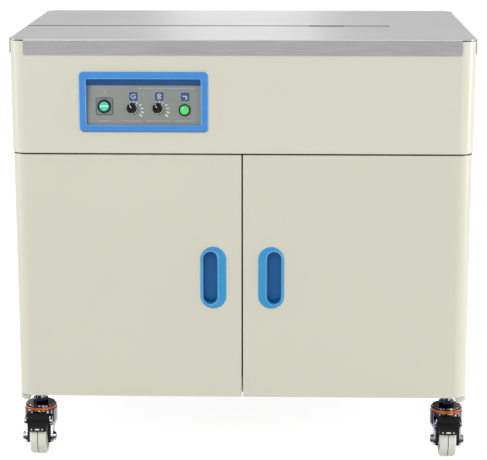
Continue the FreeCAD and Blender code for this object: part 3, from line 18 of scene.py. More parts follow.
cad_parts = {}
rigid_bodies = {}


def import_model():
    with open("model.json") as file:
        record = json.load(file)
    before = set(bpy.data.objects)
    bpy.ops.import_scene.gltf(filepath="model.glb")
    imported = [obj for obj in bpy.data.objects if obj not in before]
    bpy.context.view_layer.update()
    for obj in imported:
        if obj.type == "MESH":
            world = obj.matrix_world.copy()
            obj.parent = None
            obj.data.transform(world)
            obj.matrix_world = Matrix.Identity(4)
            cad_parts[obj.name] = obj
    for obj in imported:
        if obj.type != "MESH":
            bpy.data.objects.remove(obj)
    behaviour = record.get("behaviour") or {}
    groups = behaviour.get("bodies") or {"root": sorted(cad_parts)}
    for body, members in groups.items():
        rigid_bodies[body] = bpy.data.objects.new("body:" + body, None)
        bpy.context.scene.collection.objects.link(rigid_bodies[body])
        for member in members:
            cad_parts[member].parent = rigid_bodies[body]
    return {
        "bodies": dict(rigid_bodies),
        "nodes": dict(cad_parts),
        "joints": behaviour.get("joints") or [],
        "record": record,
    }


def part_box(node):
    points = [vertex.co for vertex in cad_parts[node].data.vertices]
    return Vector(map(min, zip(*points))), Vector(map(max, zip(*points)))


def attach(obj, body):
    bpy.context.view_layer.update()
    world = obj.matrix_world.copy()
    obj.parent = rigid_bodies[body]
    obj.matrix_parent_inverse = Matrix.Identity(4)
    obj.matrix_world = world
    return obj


LOG = logging.getLogger("strapping_machine")
MM = 0.001
SMOOTH_ANGLE = 32.0
BODY_FRONT = -294.434
BODY_BACK = 292.966
TRAY_TOP = 163.5
STRAP_LINE = -35.034
CAM_SHAFT_HEIGHT = 700.5
CASTER_X = 415.2
CASTER_FRONT = -229.434
CASTER_REAR = 220.966

Colour = tuple[float, float, float]
Socket = bpy.types.NodeSocket
Node = bpy.types.Node
Tree = bpy.types.NodeTree
Point = Sequence[float]
Outline = Sequence[tuple[float, float]]


def paint(red: int, green: int, blue: int) -> Colour:
    """Turn a screen colour into the linear values that a shader takes.

    Args:
        red: Red from 0 to 255.
        green: Green from 0 to 255.
        blue: Blue from 0 to 255.

    Returns:
        The three linear values from 0 to 1.
    """
    def linear(value: int) -> float:
        share = value / 255
        return share / 12.92 if share <= 0.04045 else ((share + 0.055) / 1.055) ** 2.4

    return linear(red), linear(green), linear(blue)


class Grain(Enum):
    """The way that the lines of a brushed metal run."""

    ALONG_X = (14.0, 900.0, 900.0)
    ALONG_Y = (900.0, 14.0, 900.0)
    ALONG_Z = (900.0, 900.0, 14.0)
    NONE = (300.0, 300.0, 300.0)


class Corner(Enum):
    """The corner of the cabinet that a caster stands under."""

    FRONT_LEFT = "front_left"
    FRONT_RIGHT = "front_right"
    REAR_LEFT = "rear_left"
    REAR_RIGHT = "rear_right"

    @property
    def braked(self) -> bool:
        """Whether the caster has a foot pedal."""
        return "front" in self.value


@dataclass
class NodeGraph:
    """A node tree that is filled node by node."""

    tree: Tree

    def add(self, kind: str, **values: object) -> Node:
        """Add one node.

        Args:
            kind: The node's type without its ShaderNode prefix.
            values: Properties to set on the node.

        Returns:
            The new node.
        """
        prefix = "" if kind.startswith("Node") else "ShaderNode"
        node = self.tree.nodes.new(prefix + kind)
        for name, value in values.items():
            setattr(node, name, value)
        return node

    def link(self, source: Socket, target: Socket) -> None:
        """Join an output to an input."""
        self.tree.links.new(source, target)

    def part(self, output: str, axis: str) -> Socket:
        """Read one axis of a texture coordinate."""
        node = self.add("SeparateXYZ")
        self.link(self.add("TexCoord").outputs[output], node.inputs["Vector"])
        return node.outputs[axis]

    def noise(self, vector: Socket, scale: float, detail: float, roughness: float = 0.5) -> Socket:
        """Add a noise texture.

        Args:
            vector: Where the texture is read.
            scale: Its scale, per metre on an unscaled vector.
            detail: How many layers of finer noise it has.
            roughness: How strong the finer layers are.

        Returns:
            The noise's socket, from 0 to 1.
        """
        node = self.add("TexNoise")
        node.inputs["Scale"].default_value = scale
        node.inputs["Detail"].default_value = detail
        node.inputs["Roughness"].default_value = roughness
        self.link(vector, node.inputs["Vector"])
        return node.outputs["Fac"]

    def spread(self, value: Socket, low: float, high: float, start: float = 0.3, end: float = 0.7) -> Socket:
        """Map a value from one range to another.

        Args:
            value: The value to map.
            low: The result at the start.
            high: The result at the end.
            start: The value that gives the low result.
            end: The value that gives the high result.

        Returns:
            The mapped value's socket.
        """
        node = self.add("MapRange")
        node.inputs["From Min"].default_value = start
        node.inputs["From Max"].default_value = end
        node.inputs["To Min"].default_value = low
        node.inputs["To Max"].default_value = high
        self.link(value, node.inputs["Value"])
        return node.outputs["Result"]

    def maths(self, operation: str, first: Socket | float, second: Socket | float) -> Socket:
        """Work out one sum of two values.

        Args:
            operation: The name of the sum.
            first: A socket or a number.
            second: A socket or a number.

        Returns:
            The result's socket.
        """
        node = self.add("Math", operation=operation)
        for index, value in enumerate((first, second)):
            if isinstance(value, (int, float)):
                node.inputs[index].default_value = value
            else:
                self.link(value, node.inputs[index])
        return node.outputs["Value"]

    def shade(self, colour: Socket, share: Socket) -> Socket:
        """Multiply a colour by a value.

        Args:
            colour: The colour's socket.
            share: The value's socket.

        Returns:
            The darker or lighter colour's socket.
        """
        node = self.add("VectorMath", operation="SCALE")
        self.link(colour, node.inputs[0])
        self.link(share, node.inputs["Scale"])
        return node.outputs["Vector"]

    def mix(self, share: Socket, first: Socket | Colour, second: Socket | Colour) -> Socket:
        """Mix two colours.

        Args:
            share: How much of the second colour there is.
            first: A socket or a colour.
            second: A socket or a colour.

        Returns:
            The mixed colour's socket.
        """
        node = self.add("Mix", data_type="RGBA")
        sockets = [socket for socket in node.inputs if socket.type == "RGBA"]
        self.link(share, node.inputs[0])
        for socket, value in zip(sockets, (first, second)):
            if isinstance(value, tuple):
                socket.default_value = (*value, 1.0)
            else:
                self.link(value, socket)
        return next(socket for socket in node.outputs if socket.type == "RGBA")


class Effects:
    """The shader node groups that several finishes share, each built once."""

    KINDS = {"Colour": "NodeSocketColor", "Deep": "NodeSocketColor", "Dim": "NodeSocketColor",
             "Stretch": "NodeSocketVector"}

    def __init__(self) -> None:
        """Build every group."""
        self.coat = self._coat()
        self.brushed = self._brushed()
        self.moulded = self._moulded()
        self.dust = self._dust()
        # Painted shade behind a moulding's front and on its faces that look down.
        self.recess = self._painted_recess_shade()
        # Painted dark reflection patches in plating.
        self.painted_reflection = self._painted_reflection()
        # Painted shade on faces that look forwards.
        self.skirt = self._skirt()

    @classmethod
    def _start(cls, name: str, inputs: str, outputs: str = "Colour") -> tuple[NodeGraph, Node, Node]:
        """Open a new group.

        Args:
            name: The group's name.
            inputs: The names of its inputs, each a number unless KINDS says otherwise.
            outputs: The names of its outputs.

        Returns:
            The graph with its input node and its output node.
        """
        tree = bpy.data.node_groups.new(name, "ShaderNodeTree")
        for way, labels in (("INPUT", inputs), ("OUTPUT", outputs)):
            for label in labels.split():
                kind = cls.KINDS.get(label, "NodeSocketFloat")
                tree.interface.new_socket(name=label, in_out=way, socket_type=kind)
        graph = NodeGraph(tree)
        return graph, graph.add("NodeGroupInput"), graph.add("NodeGroupOutput")

    @staticmethod
    def _end(graph: NodeGraph, source: Node, result: Node, level: Socket, change: Socket, height: Socket) -> Tree:
        """Close a group for a surface.

        Args:
            graph: The group's nodes.
            source: Its input node.
            result: Its output node.
            level: What the colour is multiplied by.
            change: What the roughness gains.
            height: The height for the bump.

        Returns:
            The finished group.
        """
        graph.link(graph.shade(source.outputs["Colour"], level), result.inputs["Colour"])
        graph.link(graph.maths("ADD", source.outputs["Roughness"], change), result.inputs["Roughness"])
        graph.link(height, result.inputs["Height"])
        return graph.tree

    def _coat(self) -> Tree:
        """Build the fine orange peel and faint clouding of powder coat."""
        graph, source, result = self._start("Powder coat", "Colour Clouding Roughness", "Colour Roughness Height")
        place = graph.add("TexCoord").outputs["Object"]
        peel = graph.noise(place, 620.0, 2.0)
        cloud = graph.noise(place, 3.2, 3.0)
        speck = graph.noise(place, 2400.0, 1.0)
        swing = graph.maths("MULTIPLY", graph.spread(cloud, -1.0, 1.0), source.outputs["Clouding"])
        fleck = graph.spread(speck, -0.008, 0.008)
        level = graph.maths("ADD", graph.maths("ADD", swing, fleck), 1.0)
        return self._end(graph, source, result, level, graph.spread(cloud, -0.04, 0.04), peel)

    def _brushed(self) -> Tree:
        """Build the fine parallel lines of brushed or rolled metal."""
        graph, source, result = self._start(
            "Brushed metal", "Colour Stretch Contrast Roughness", "Colour Roughness Height")
        place = graph.add("TexCoord").outputs["Object"]
        stretched = graph.add("VectorMath", operation="MULTIPLY")
        graph.link(place, stretched.inputs[0])
        graph.link(source.outputs["Stretch"], stretched.inputs[1])
        lines = graph.noise(stretched.outputs["Vector"], 1.0, 4.0, 0.6)
        cloud = graph.noise(place, 5.0, 3.0)
        swing = graph.maths("MULTIPLY", graph.spread(lines, -1.0, 1.0), source.outputs["Contrast"])
        wander = graph.spread(cloud, -0.03, 0.03)
        level = graph.maths("ADD", graph.maths("ADD", swing, wander), 1.0)
        return self._end(graph, source, result, level, graph.maths("MULTIPLY", swing, 0.5), lines)

    def _moulded(self) -> Tree:
        """Build the faint spark-eroded texture and flow marks of moulded plastic."""
        graph, source, result = self._start(
            "Moulded plastic", "Colour Fineness Roughness", "Colour Roughness Height")
        place = graph.add("TexCoord").outputs["Object"]
        scaled = graph.shade(place, source.outputs["Fineness"])
        grain = graph.noise(scaled, 1.0, 2.0)
        flow = graph.noise(place, 40.0, 2.0)
        level = graph.maths("ADD", graph.spread(flow, -0.025, 0.025), 1.0)
        return self._end(graph, source, result, level, graph.spread(grain, -0.05, 0.05), grain)

    def _dust(self) -> Tree:
        """Build a patchy grime that fades out above a height."""
        graph, source, result = self._start("Dust near the floor", "Colour Amount Top")
        place = graph.add("TexCoord").outputs["Object"]
        patches = graph.spread(graph.noise(place, 90.0, 5.0, 0.6), 0.0, 1.0, 0.42, 0.72)
        fade = graph.maths("SUBTRACT", 1.0, graph.maths("DIVIDE", graph.part("Object", "Z"), source.outputs["Top"]))
        limited = graph.maths("MAXIMUM", graph.maths("MINIMUM", fade, 1.0), 0.0)
        share = graph.maths("MULTIPLY", graph.maths("MULTIPLY", limited, patches), source.outputs["Amount"])
        graph.link(graph.mix(share, source.outputs["Colour"], paint(120, 112, 100)), result.inputs["Colour"])
        return graph.tree

    def _painted_recess_shade(self) -> Tree:
        """Build painted shade on a moulding: darker behind its front and on its faces that look down."""
        graph, source, result = self._start("Recess", "Colour Deep Front Reach Under")
        # Painted shade: the further behind the front, and the more a face looks down, the darker.
        behind = graph.maths("SUBTRACT", graph.part("Object", "Y"), source.outputs["Front"])
        depth = graph.maths("MINIMUM", graph.maths("DIVIDE", behind, source.outputs["Reach"]), 1.0)
        facing_down = graph.maths("MULTIPLY", graph.part("Normal", "Z"), -1.0)
        below = graph.maths("MULTIPLY", facing_down, source.outputs["Under"])
        share = graph.maths("MAXIMUM", graph.maths("MAXIMUM", depth, below), 0.0)
        graph.link(graph.mix(share, source.outputs["Colour"], source.outputs["Deep"]), result.inputs["Colour"])
        return graph.tree

    def _painted_reflection(self) -> Tree:
        """Build painted reflection: dark patches of the room in bright plating, by which way a face looks."""
        graph, source, result = self._start("Painted room reflection", "Colour Dim")
        patches = graph.noise(graph.add("TexCoord").outputs["Normal"], 2.6, 2.0, 0.6)
        share = graph.spread(patches, 1.0, 0.0, 0.5, 0.6)
        graph.link(graph.mix(share, source.outputs["Colour"], source.outputs["Dim"]), result.inputs["Colour"])
        return graph.tree

    def _skirt(self) -> Tree:
        """Build painted shade on the steel faces that look forwards."""
        graph, source, result = self._start("Front skirt", "Colour")
        level = graph.spread(graph.part("Normal", "Y"), 0.7, 1.0, -0.95, -0.6)
        graph.link(graph.shade(source.outputs["Colour"], level), result.inputs["Colour"])
        return graph.tree


@dataclass(frozen=True)
class Finish(ABC):
    """A finish of the machine, with its name and its colour."""

    name: str
    colour: Colour

    @abstractmethod
    def dress(self, graph: NodeGraph, shader: Node, effects: Effects) -> None:
        """Fill in a material round its shader.

        Args:
            graph: The material's nodes.
            shader: Its Principled shader.
            effects: The shared groups.
        """

    def make(self, effects: Effects) -> bpy.types.Material:
        """Make the material, or find it again.

        Args:
            effects: The shared groups.

        Returns:
            The material.
        """
        known = bpy.data.materials.get(self.name)
        if known:
            return known
        material = bpy.data.materials.new(self.name)
        material.use_nodes = True
        graph = NodeGraph(material.node_tree)
        shader = next(node for node in graph.tree.nodes if node.type == "BSDF_PRINCIPLED")
        material.diffuse_color = (*self.colour, 1.0)
        self.dress(graph, shader, effects)
        return material

    def tone(self, graph: NodeGraph, colour: Socket, effects: Effects) -> Socket:
        """Change the colour on its way to the shader, which a plain finish doesn't."""
        return colour

    @staticmethod
    def bump(graph: NodeGraph, shader: Node, height: Socket, strength: float, depth: float) -> None:
        """Add a bump to a shader.

        Args:
            graph: The material's nodes.
            shader: The shader whose normal is changed.
            height: The height that the bump reads.
            strength: How strong it is, from 0 to 1.
            depth: How deep it is in metres.
        """
        node = graph.add("Bump")
        node.inputs["Strength"].default_value = strength
        node.inputs["Distance"].default_value = depth
        graph.link(height, node.inputs["Height"])
        graph.link(node.outputs["Normal"], shader.inputs["Normal"])

    @staticmethod
    def place(graph: NodeGraph, tree: Tree, **values: object) -> Node:
        """Put a shared group in a material.

        Args:
            graph: The material's nodes.
            tree: The group.
            values: Its inputs.

        Returns:
            The group's node.
        """
        node = graph.add("Group", node_tree=tree)
        for name, value in values.items():
            node.inputs[name].default_value = value
        return node

    def passed(self, graph: NodeGraph, tree: Tree, colour: Socket, **values: object) -> Socket:
        """Send a colour through a shared group.

        Args:
            graph: The material's nodes.
            tree: The group.
            colour: The colour's socket.
            values: The group's other inputs.

        Returns:
            The changed colour's socket.
        """
        node = self.place(graph, tree, **values)
        graph.link(colour, node.inputs["Colour"])
        return node.outputs["Colour"]


@dataclass(frozen=True)
class PowderCoat(Finish):
    """Sprayed and baked paint on sheet steel."""

    roughness: float = 0.38
    gloss_coat: float = 0.25
    clouding: float = 0.012
    dust: float = 0.0
    dust_top: float = 0.2

    def dress(self, graph: NodeGraph, shader: Node, effects: Effects) -> None:
        """Fill in the paint."""
        coat = self.place(graph, effects.coat, Colour=(*self.colour, 1.0), Clouding=self.clouding,
                          Roughness=self.roughness)
        colour = coat.outputs["Colour"]
        if self.dust:
            colour = self.passed(graph, effects.dust, colour, Amount=self.dust, Top=self.dust_top)
        graph.link(colour, shader.inputs["Base Color"])
        graph.link(coat.outputs["Roughness"], shader.inputs["Roughness"])
        shader.inputs["Coat Weight"].default_value = self.gloss_coat
        shader.inputs["Coat Roughness"].default_value = 0.3
        self.bump(graph, shader, coat.outputs["Height"], 0.10, 0.0002)


@dataclass(frozen=True)
class BrushedMetal(Finish):
    """Bare metal with lines from rolling, brushing or turning."""

    roughness: float = 0.34
    contrast: float = 0.06
    grain: Grain = Grain.ALONG_X
    depth: float = 0.00004

    def dress(self, graph: NodeGraph, shader: Node, effects: Effects) -> None:
        """Fill in the metal."""
        lines = self.place(graph, effects.brushed, Colour=(*self.colour, 1.0), Stretch=self.grain.value,
                           Contrast=self.contrast, Roughness=self.roughness)
        graph.link(self.tone(graph, lines.outputs["Colour"], effects), shader.inputs["Base Color"])
        graph.link(lines.outputs["Roughness"], shader.inputs["Roughness"])
        shader.inputs["Metallic"].default_value = 1.0
        self.bump(graph, shader, lines.outputs["Height"], 0.2, self.depth)


@dataclass(frozen=True)
class FrontShadedSteel(BrushedMetal):
    """Brushed steel with painted shade on its front skirt."""

    def tone(self, graph: NodeGraph, colour: Socket, effects: Effects) -> Socket:
        """Paint shade on the faces that look forwards."""
        return self.passed(graph, effects.skirt, colour)


@dataclass(frozen=True)
class Plated(Finish):
    """Bright plating with faint smears and dark patches of painted reflection."""

    roughness: float = 0.12
    dust: float = 0.35
    # The colour of the painted dark reflection patches.
    dim: Colour = (0.012, 0.015, 0.028)

    def dress(self, graph: NodeGraph, shader: Node, effects: Effects) -> None:
        """Fill in the plating."""
        smear = self.place(graph, effects.moulded, Colour=(*self.colour, 1.0), Fineness=160.0,
                           Roughness=self.roughness)
        # Paint the room's dark reflection patches into the plating.
        colour = self.passed(graph, effects.painted_reflection, smear.outputs["Colour"], Dim=(*self.dim, 1.0))
        colour = self.passed(graph, effects.dust, colour, Amount=self.dust, Top=0.08)
        graph.link(colour, shader.inputs["Base Color"])
        graph.link(smear.outputs["Roughness"], shader.inputs["Roughness"])
        shader.inputs["Metallic"].default_value = 1.0


@dataclass(frozen=True)
class Plastic(Finish):
    """Moulded plastic or rubber."""

    roughness: float = 0.4
    fineness: float = 1500.0
    gloss_coat: float = 0.0
    texture: float = 0.08
    dust: float = 0.0
    gleam: float = 0.5

    def dress(self, graph: NodeGraph, shader: Node, effects: Effects) -> None:
        """Fill in the plastic."""
        moulded = self.place(graph, effects.moulded, Colour=(*self.colour, 1.0), Fineness=self.fineness,
                             Roughness=self.roughness)
        colour = moulded.outputs["Colour"]
        if self.dust:
            colour = self.passed(graph, effects.dust, colour, Amount=self.dust, Top=0.075)
        graph.link(self.tone(graph, colour, effects), shader.inputs["Base Color"])
        graph.link(moulded.outputs["Roughness"], shader.inputs["Roughness"])
        shader.inputs["Specular IOR Level"].default_value = self.gleam
        shader.inputs["Coat Weight"].default_value = self.gloss_coat
        shader.inputs["Coat Roughness"].default_value = 0.08
        self.bump(graph, shader, moulded.outputs["Height"], self.texture, 0.0002)


@dataclass(frozen=True)
class RecessShadedPlastic(Plastic):
    """Plastic with painted shade behind its front and on its faces that look down."""

    # The painted shade's colour, where it starts, how far back it is full, and how much faces that look down take.
    deep: Colour = (0.0, 0.0, 0.0)
    front: float = 0.0
    reach: float = 0.01
    under: float = 0.0

    def tone(self, graph: NodeGraph, colour: Socket, effects: Effects) -> Socket:
        """Paint the shade into the colour with the shared effect."""
        return self.passed(graph, effects.recess, colour, Deep=(*self.deep, 1.0), Front=self.front,
                           Reach=self.reach, Under=self.under)


@dataclass(frozen=True)
class LitLens(Finish):
    """Coloured clear plastic with a lamp behind it."""

    glow: float = 0.6

    def dress(self, graph: NodeGraph, shader: Node, effects: Effects) -> None:
        """Fill in the lens, which gives off its own colour."""
        moulded = self.place(graph, effects.moulded, Colour=(*self.colour, 1.0), Fineness=700.0, Roughness=0.2)
        graph.link(moulded.outputs["Colour"], shader.inputs["Base Color"])
        graph.link(moulded.outputs["Roughness"], shader.inputs["Roughness"])
        graph.link(moulded.outputs["Colour"], shader.inputs["Emission Color"])
        shader.inputs["Emission Strength"].default_value = self.glow
        shader.inputs["Coat Weight"].default_value = 0.6


@dataclass(frozen=True)
class Finishes:
    """Every finish of the machine by its use."""

    cover_cream: Finish = PowderCoat("Cream coat of the cover", paint(233, 231, 213))
    door_cream: Finish = PowderCoat("Cream coat of the doors", paint(231, 228, 210))
    frame_cream: Finish = PowderCoat("Cream coat of the frame", paint(206, 204, 188), dust=0.25)
    # The table's front skirt carries painted shade.
    table_steel: Finish = FrontShadedSteel("Brushed table steel", paint(189, 188, 189), contrast=0.12, roughness=0.36)
    plain_steel: Finish = BrushedMetal("Plain steel", paint(165, 165, 167), grain=Grain.ALONG_Z, roughness=0.38)
    turned_steel: Finish = BrushedMetal("Turned steel", paint(185, 186, 188), grain=Grain.NONE, roughness=0.25)
    dark_steel: Finish = BrushedMetal("Oiled dark steel", paint(70, 70, 73), grain=Grain.ALONG_X, roughness=0.35)
    panel_metal: Finish = BrushedMetal("Brushed panel plate", paint(130, 134, 131), contrast=0.05, roughness=0.5)
    aluminium: Finish = BrushedMetal("Machined aluminium", paint(200, 201, 204), grain=Grain.NONE, roughness=0.3)
    # The bezel and the handles carry painted shade in their recesses and on faces that look down.
    bezel_blue: Finish = RecessShadedPlastic("Blue bezel", paint(74, 153, 236), roughness=0.3, gleam=0.3,
                                         deep=paint(34, 66, 118), front=-0.294, reach=0.03, under=0.9)
    handle_blue: Finish = RecessShadedPlastic("Blue handle", paint(60, 163, 224), roughness=0.3, gleam=0.3,
                                          deep=paint(0, 110, 178), front=-0.2945, reach=0.010, under=0.2)
    # A lighter blue that paints the highlight along the raised beads.
    highlight_blue: Finish = Plastic("Blue bead with painted highlight", paint(120, 188, 236), roughness=0.28, gloss_coat=0.3)
    black_plastic: Finish = Plastic("Black moulded plastic", paint(8, 8, 9), roughness=0.35, gleam=0.2)
    white_plastic: Finish = Plastic("White moulded plastic", paint(235, 236, 232), roughness=0.4)
    wheel_nylon: Finish = Plastic("Wheel nylon", paint(246, 247, 234), roughness=0.38, dust=0.15)
    pedal_black: Finish = Plastic("Pedal plastic", paint(10, 10, 11), roughness=0.5, gleam=0.25)
    rubber: Finish = Plastic("Black rubber", paint(26, 26, 27), roughness=0.75, texture=0.2)
    reel_grey: Finish = Plastic("Reel plastic", paint(58, 61, 66), roughness=0.5)
    teal_lens: Finish = LitLens("Teal lit rocker", paint(40, 178, 140), glow=0.5)
    green_lens: Finish = LitLens("Green lit button", paint(60, 190, 96), glow=0.55)
    pale_print: Finish = Plastic("Pale print", paint(250, 251, 252), roughness=0.5)
    faint_print: Finish = Plastic("Faint print", paint(200, 203, 204), roughness=0.5)
    tile_blue: Finish = Plastic("Blue sign tile", paint(40, 84, 140), roughness=0.45)
    glow_white: Finish = LitLens("Lit white sign", paint(170, 232, 214), glow=0.4)
    switch_grey: Finish = Plastic("Switch plate", paint(138, 142, 142), roughness=0.5)
    clamp_green: Finish = Plastic("Terminal block", paint(56, 132, 74), roughness=0.45)
    # A dark line round the wheel's tread.
    tread_line_dark: Finish = Plastic("Tread seam", paint(84, 70, 54), roughness=0.8)
    # Dark discs that paint the shadow inside the axle sockets.
    socket_shade_black: Finish = BrushedMetal("Socket shadow", paint(30, 30, 32), grain=Grain.NONE, roughness=0.5)
    # Both platings carry painted dark reflection patches.
    chrome: Finish = Plated("Bright plating", paint(196, 198, 206), dust=0.1)
    race_copper: Finish = Plated("Copper plated race", paint(206, 116, 62), roughness=0.22, dim=paint(150, 78, 40))
    board_green: Finish = Plastic("Circuit board", paint(28, 92, 58), roughness=0.35, fineness=500.0)
    motor_paint: Finish = PowderCoat("Motor enamel", paint(72, 78, 84), roughness=0.35)
    coil_tape: Finish = Plastic("Coil tape", paint(170, 132, 58), roughness=0.5, texture=0.15)
    core_iron: Finish = BrushedMetal("Core sheets", paint(88, 86, 84), grain=Grain.ALONG_X, roughness=0.5,
                                     contrast=0.2)
    foam: Finish = Plastic("Door foam", paint(48, 48, 50), roughness=0.9, fineness=2500.0, texture=0.3)
    brass: Finish = BrushedMetal("Brass", paint(196, 160, 88), grain=Grain.NONE, roughness=0.3)


COATS: dict[str, tuple[str, ...]] = {
    "bezel_blue": ("panel_bezel",),
    "panel_metal": ("panel_plate",),
    "switch_grey": ("power_switch_frame",),
    "black_plastic": ("reset_button_ring", "feed_knob", "tension_knob", "power_rocker", "cable_gland",
        "door_catches", "reel_hand_nut"),
    "green_lens": ("reset_button",),
    "board_green": ("control_board",),
    "chrome": ("caster_stems", *(f"caster_fork_{corner.value}" for corner in Corner)),
    "race_copper": ("caster_races",),
    "wheel_nylon": tuple(f"caster_wheel_{corner.value}" for corner in Corner),
    "pedal_black": tuple(f"caster_brake_{corner.value}" for corner in Corner if corner.braked),
    "cover_cream": ("upper_cover",),
    "door_cream": ("left_side_panel", "right_side_panel", "back_panel", "left_door", "right_door"),
    "frame_cream": ("base_frame", "cabinet_frame", "corner_feet", "reel_stand"),
    "plain_steel": ("floor_tray", "door_hinge_pins", "table_hinge_base", "table_hinge_flap", "reel_brake_arm",
        "head_frame"),
    "handle_blue": ("left_handle", "right_handle"),
    "table_steel": ("table_top",),
    "turned_steel": ("slide_plate", "cam_shaft", "pinch_roller", "guide_roller"),
    "rubber": ("table_buffers", "drive_belt", "feed_roller"),
    "reel_grey": ("reel_drum", "reel_front_flange"),
    "dark_steel": ("cams", "grippers"),
    "brass": ("heater",),
    "motor_paint": ("drive_motor",),
    "aluminium": ("motor_pulley", "cam_pulley", "feed_plate"),
    "core_iron": ("transformer",),
}


class Shape:
    """A mesh that is built up from forms, all in millimetres.

    Each method that adds a form returns the shape itself. Where a form takes them, at is the middle of its
    near end or of its seat, axis is the direction that it stands up in, steps is how many sides it has round
    that axis, and closed says whether its two ends are filled.
    """

    def __init__(self, place: Matrix | None = None) -> None:
        """Start an empty mesh.

        Args:
            place: The frame, in millimetres, that every form is given in.
        """
        self.mesh = bmesh.new()
        self.place = place or Matrix.Identity(4)

    def _add(self, points: Sequence[Vector], faces: Sequence[Sequence[int]], flat: bool = False) -> Shape:
        """Add points and faces, moved to their place and turned into metres."""
        verts = [self.mesh.verts.new((self.place @ Vector(point)) * MM) for point in points]
        for face in faces:
            made = self.mesh.faces.new([verts[index] for index in face])
            made.smooth = not flat
        return self

    @staticmethod
    def frame(at: Point, axis: Point, turn: float = 0.0) -> Matrix:
        """Work out a frame whose Z axis lies along a direction.

        Args:
            at: The frame's origin.
            axis: The direction of its Z axis.
            turn: How far it is turned about that axis, in degrees.

        Returns:
            The frame's matrix.
        """
        direction = Vector(axis).normalized()
        side = Vector((1, 0, 0)) if abs(direction.x) < 0.7 else Vector((0, 1, 0))
        across = (side - direction * side.dot(direction)).normalized()
        up = direction.cross(across)
        basis = Matrix((across, up, direction)).transposed().to_4x4()
        return Matrix.Translation(Vector(at)) @ basis @ Matrix.Rotation(math.radians(turn), 4, "Z")

    def block(self, low: Point, high: Point, edge: float = 0.5) -> Shape:
        """Add a block between its lowest and its highest corner, with edges chamfered by a width."""
        size = [b - a for a, b in zip(low, high)]
        cut = min(edge, min(size) * 0.45)
        outline = self.rounded(size[0], size[1], cut, 1)
        middle = Matrix.Translation(Vector([(a + b) / 2 for a, b in zip(low, high)]))
        half = size[2] / 2
        inner = self.rounded(size[0] - 2 * cut, size[1] - 2 * cut, cut * 0.4, 1)
        rings = [(inner, -half), (outline, -half + cut), (outline, half - cut), (inner, half)]
        return self.loft(rings, middle)

    @staticmethod
    def rounded(width: float, depth: float, radius: float, steps: int = 4) -> list[tuple[float, float]]:
        """Draw a rectangle with rounded corners, each in so many steps."""
        reach_x, reach_y = width / 2 - radius, depth / 2 - radius
        points = []
        for quarter, (x, y) in enumerate(((reach_x, reach_y), (-reach_x, reach_y), (-reach_x, -reach_y),
                                          (reach_x, -reach_y))):
            for step in range(steps + 1):
                angle = math.radians(90 * quarter + 90 * step / steps)
                points.append((x + radius * math.cos(angle), y + radius * math.sin(angle)))
        return points

    @staticmethod
    def circle(radius: float, steps: int = 32, start: float = 0.0) -> list[tuple[float, float]]:
        """Draw a circle or a regular polygon."""
        angles = [math.radians(start) + math.tau * step / steps for step in range(steps)]
        return [(radius * math.cos(angle), radius * math.sin(angle)) for angle in angles]

    def loft(self, rings: Sequence[tuple[Outline, float]], frame: Matrix, closed: bool = True) -> Shape:
        """Join outlines of equal length at several heights into one skin.

        Args:
            rings: Each outline with its height.
            frame: The frame that they are drawn in.
            closed: Whether the two ends are filled.
        """
        count = len(rings[0][0])
        points = [frame @ Vector((x, y, height)) for outline, height in rings for x, y in outline]
        faces = []
        for ring in range(len(rings) - 1):
            for index in range(count):
                after = (index + 1) % count
                faces.append((ring * count + index, ring * count + after, (ring + 1) * count + after,
                              (ring + 1) * count + index))
        if closed:
            faces.append(tuple(reversed(range(count))))
            faces.append(tuple((len(rings) - 1) * count + index for index in range(count)))
        return self._add(points, faces)

    def turned(self, profile: Outline, at: Point, axis: Point, steps: int = 32, closed: bool = True) -> Shape:
        """Turn a profile about an axis.

        Args:
            profile: Each point's radius and its height along the axis, from the bottom to the top.
            at: Where the axis starts.
            axis: Its direction.
            steps: How many sides the form has.
            closed: Whether the two ends are filled.
        """
        rings = [(self.circle(radius, steps), height) for radius, height in profile]
        return self.loft(rings, self.frame(at, axis), closed)

    def disc(self, radius: float, height: float, at: Point, axis: Point, edge: float = 0.4,
             steps: int = 32) -> Shape:
        """Add a short rod with a chamfer round its far end."""
        return self.turned([(radius, 0), (radius, height - edge), (radius - edge, height)], at, axis, steps)

    def ring(self, radius: float, thickness: float, at: Point, axis: Point, steps: int = 40,
             sides: int = 8) -> Shape:
        """Add a round ring about its middle.

        Args:
            radius: The radius of its middle line.
            thickness: The radius of its section.
            at: Its middle.
            axis: Its axis.
            steps: How many parts it has round the axis.
            sides: How many sides its section has.
        """
        section = [(radius + thickness * math.cos(math.tau * side / sides),
                    thickness * math.sin(math.tau * side / sides)) for side in range(sides)]
        frame = self.frame(at, axis)
        points = [frame @ Vector((r * math.cos(math.tau * step / steps), r * math.sin(math.tau * step / steps), h))
                  for step in range(steps) for r, h in section]
        faces = [(step * sides + side, ((step + 1) % steps) * sides + side,
                  ((step + 1) % steps) * sides + (side + 1) % sides, step * sides + (side + 1) % sides)
                 for step in range(steps) for side in range(sides)]
        return self._add(points, faces)

    def sweep(self, path: Sequence[Point], radius: float, sides: int = 10) -> Shape:
        """Add a round bar along a path, with so many sides round its section."""
        line = [Vector(point) for point in path]
        points: list[Vector] = []
        across = Vector((0, 0, 1))
        for index, here in enumerate(line):
            ahead = (line[min(index + 1, len(line) - 1)] - line[max(index - 1, 0)]).normalized()
            if abs(ahead.dot(across)) > 0.95:
                across = ahead.orthogonal()
            across = (across - ahead * across.dot(ahead)).normalized()
            up = ahead.cross(across)
            points += [here + (across * math.cos(math.tau * side / sides) + up * math.sin(math.tau * side / sides))
                       * radius for side in range(sides)]
        faces = [(ring * sides + side, ring * sides + (side + 1) % sides, (ring + 1) * sides + (side + 1) % sides,
                  (ring + 1) * sides + side) for ring in range(len(line) - 1) for side in range(sides)]
        last = (len(line) - 1) * sides
        faces += [tuple(reversed(range(sides))), tuple(last + side for side in range(sides))]
        return self._add(points, faces)

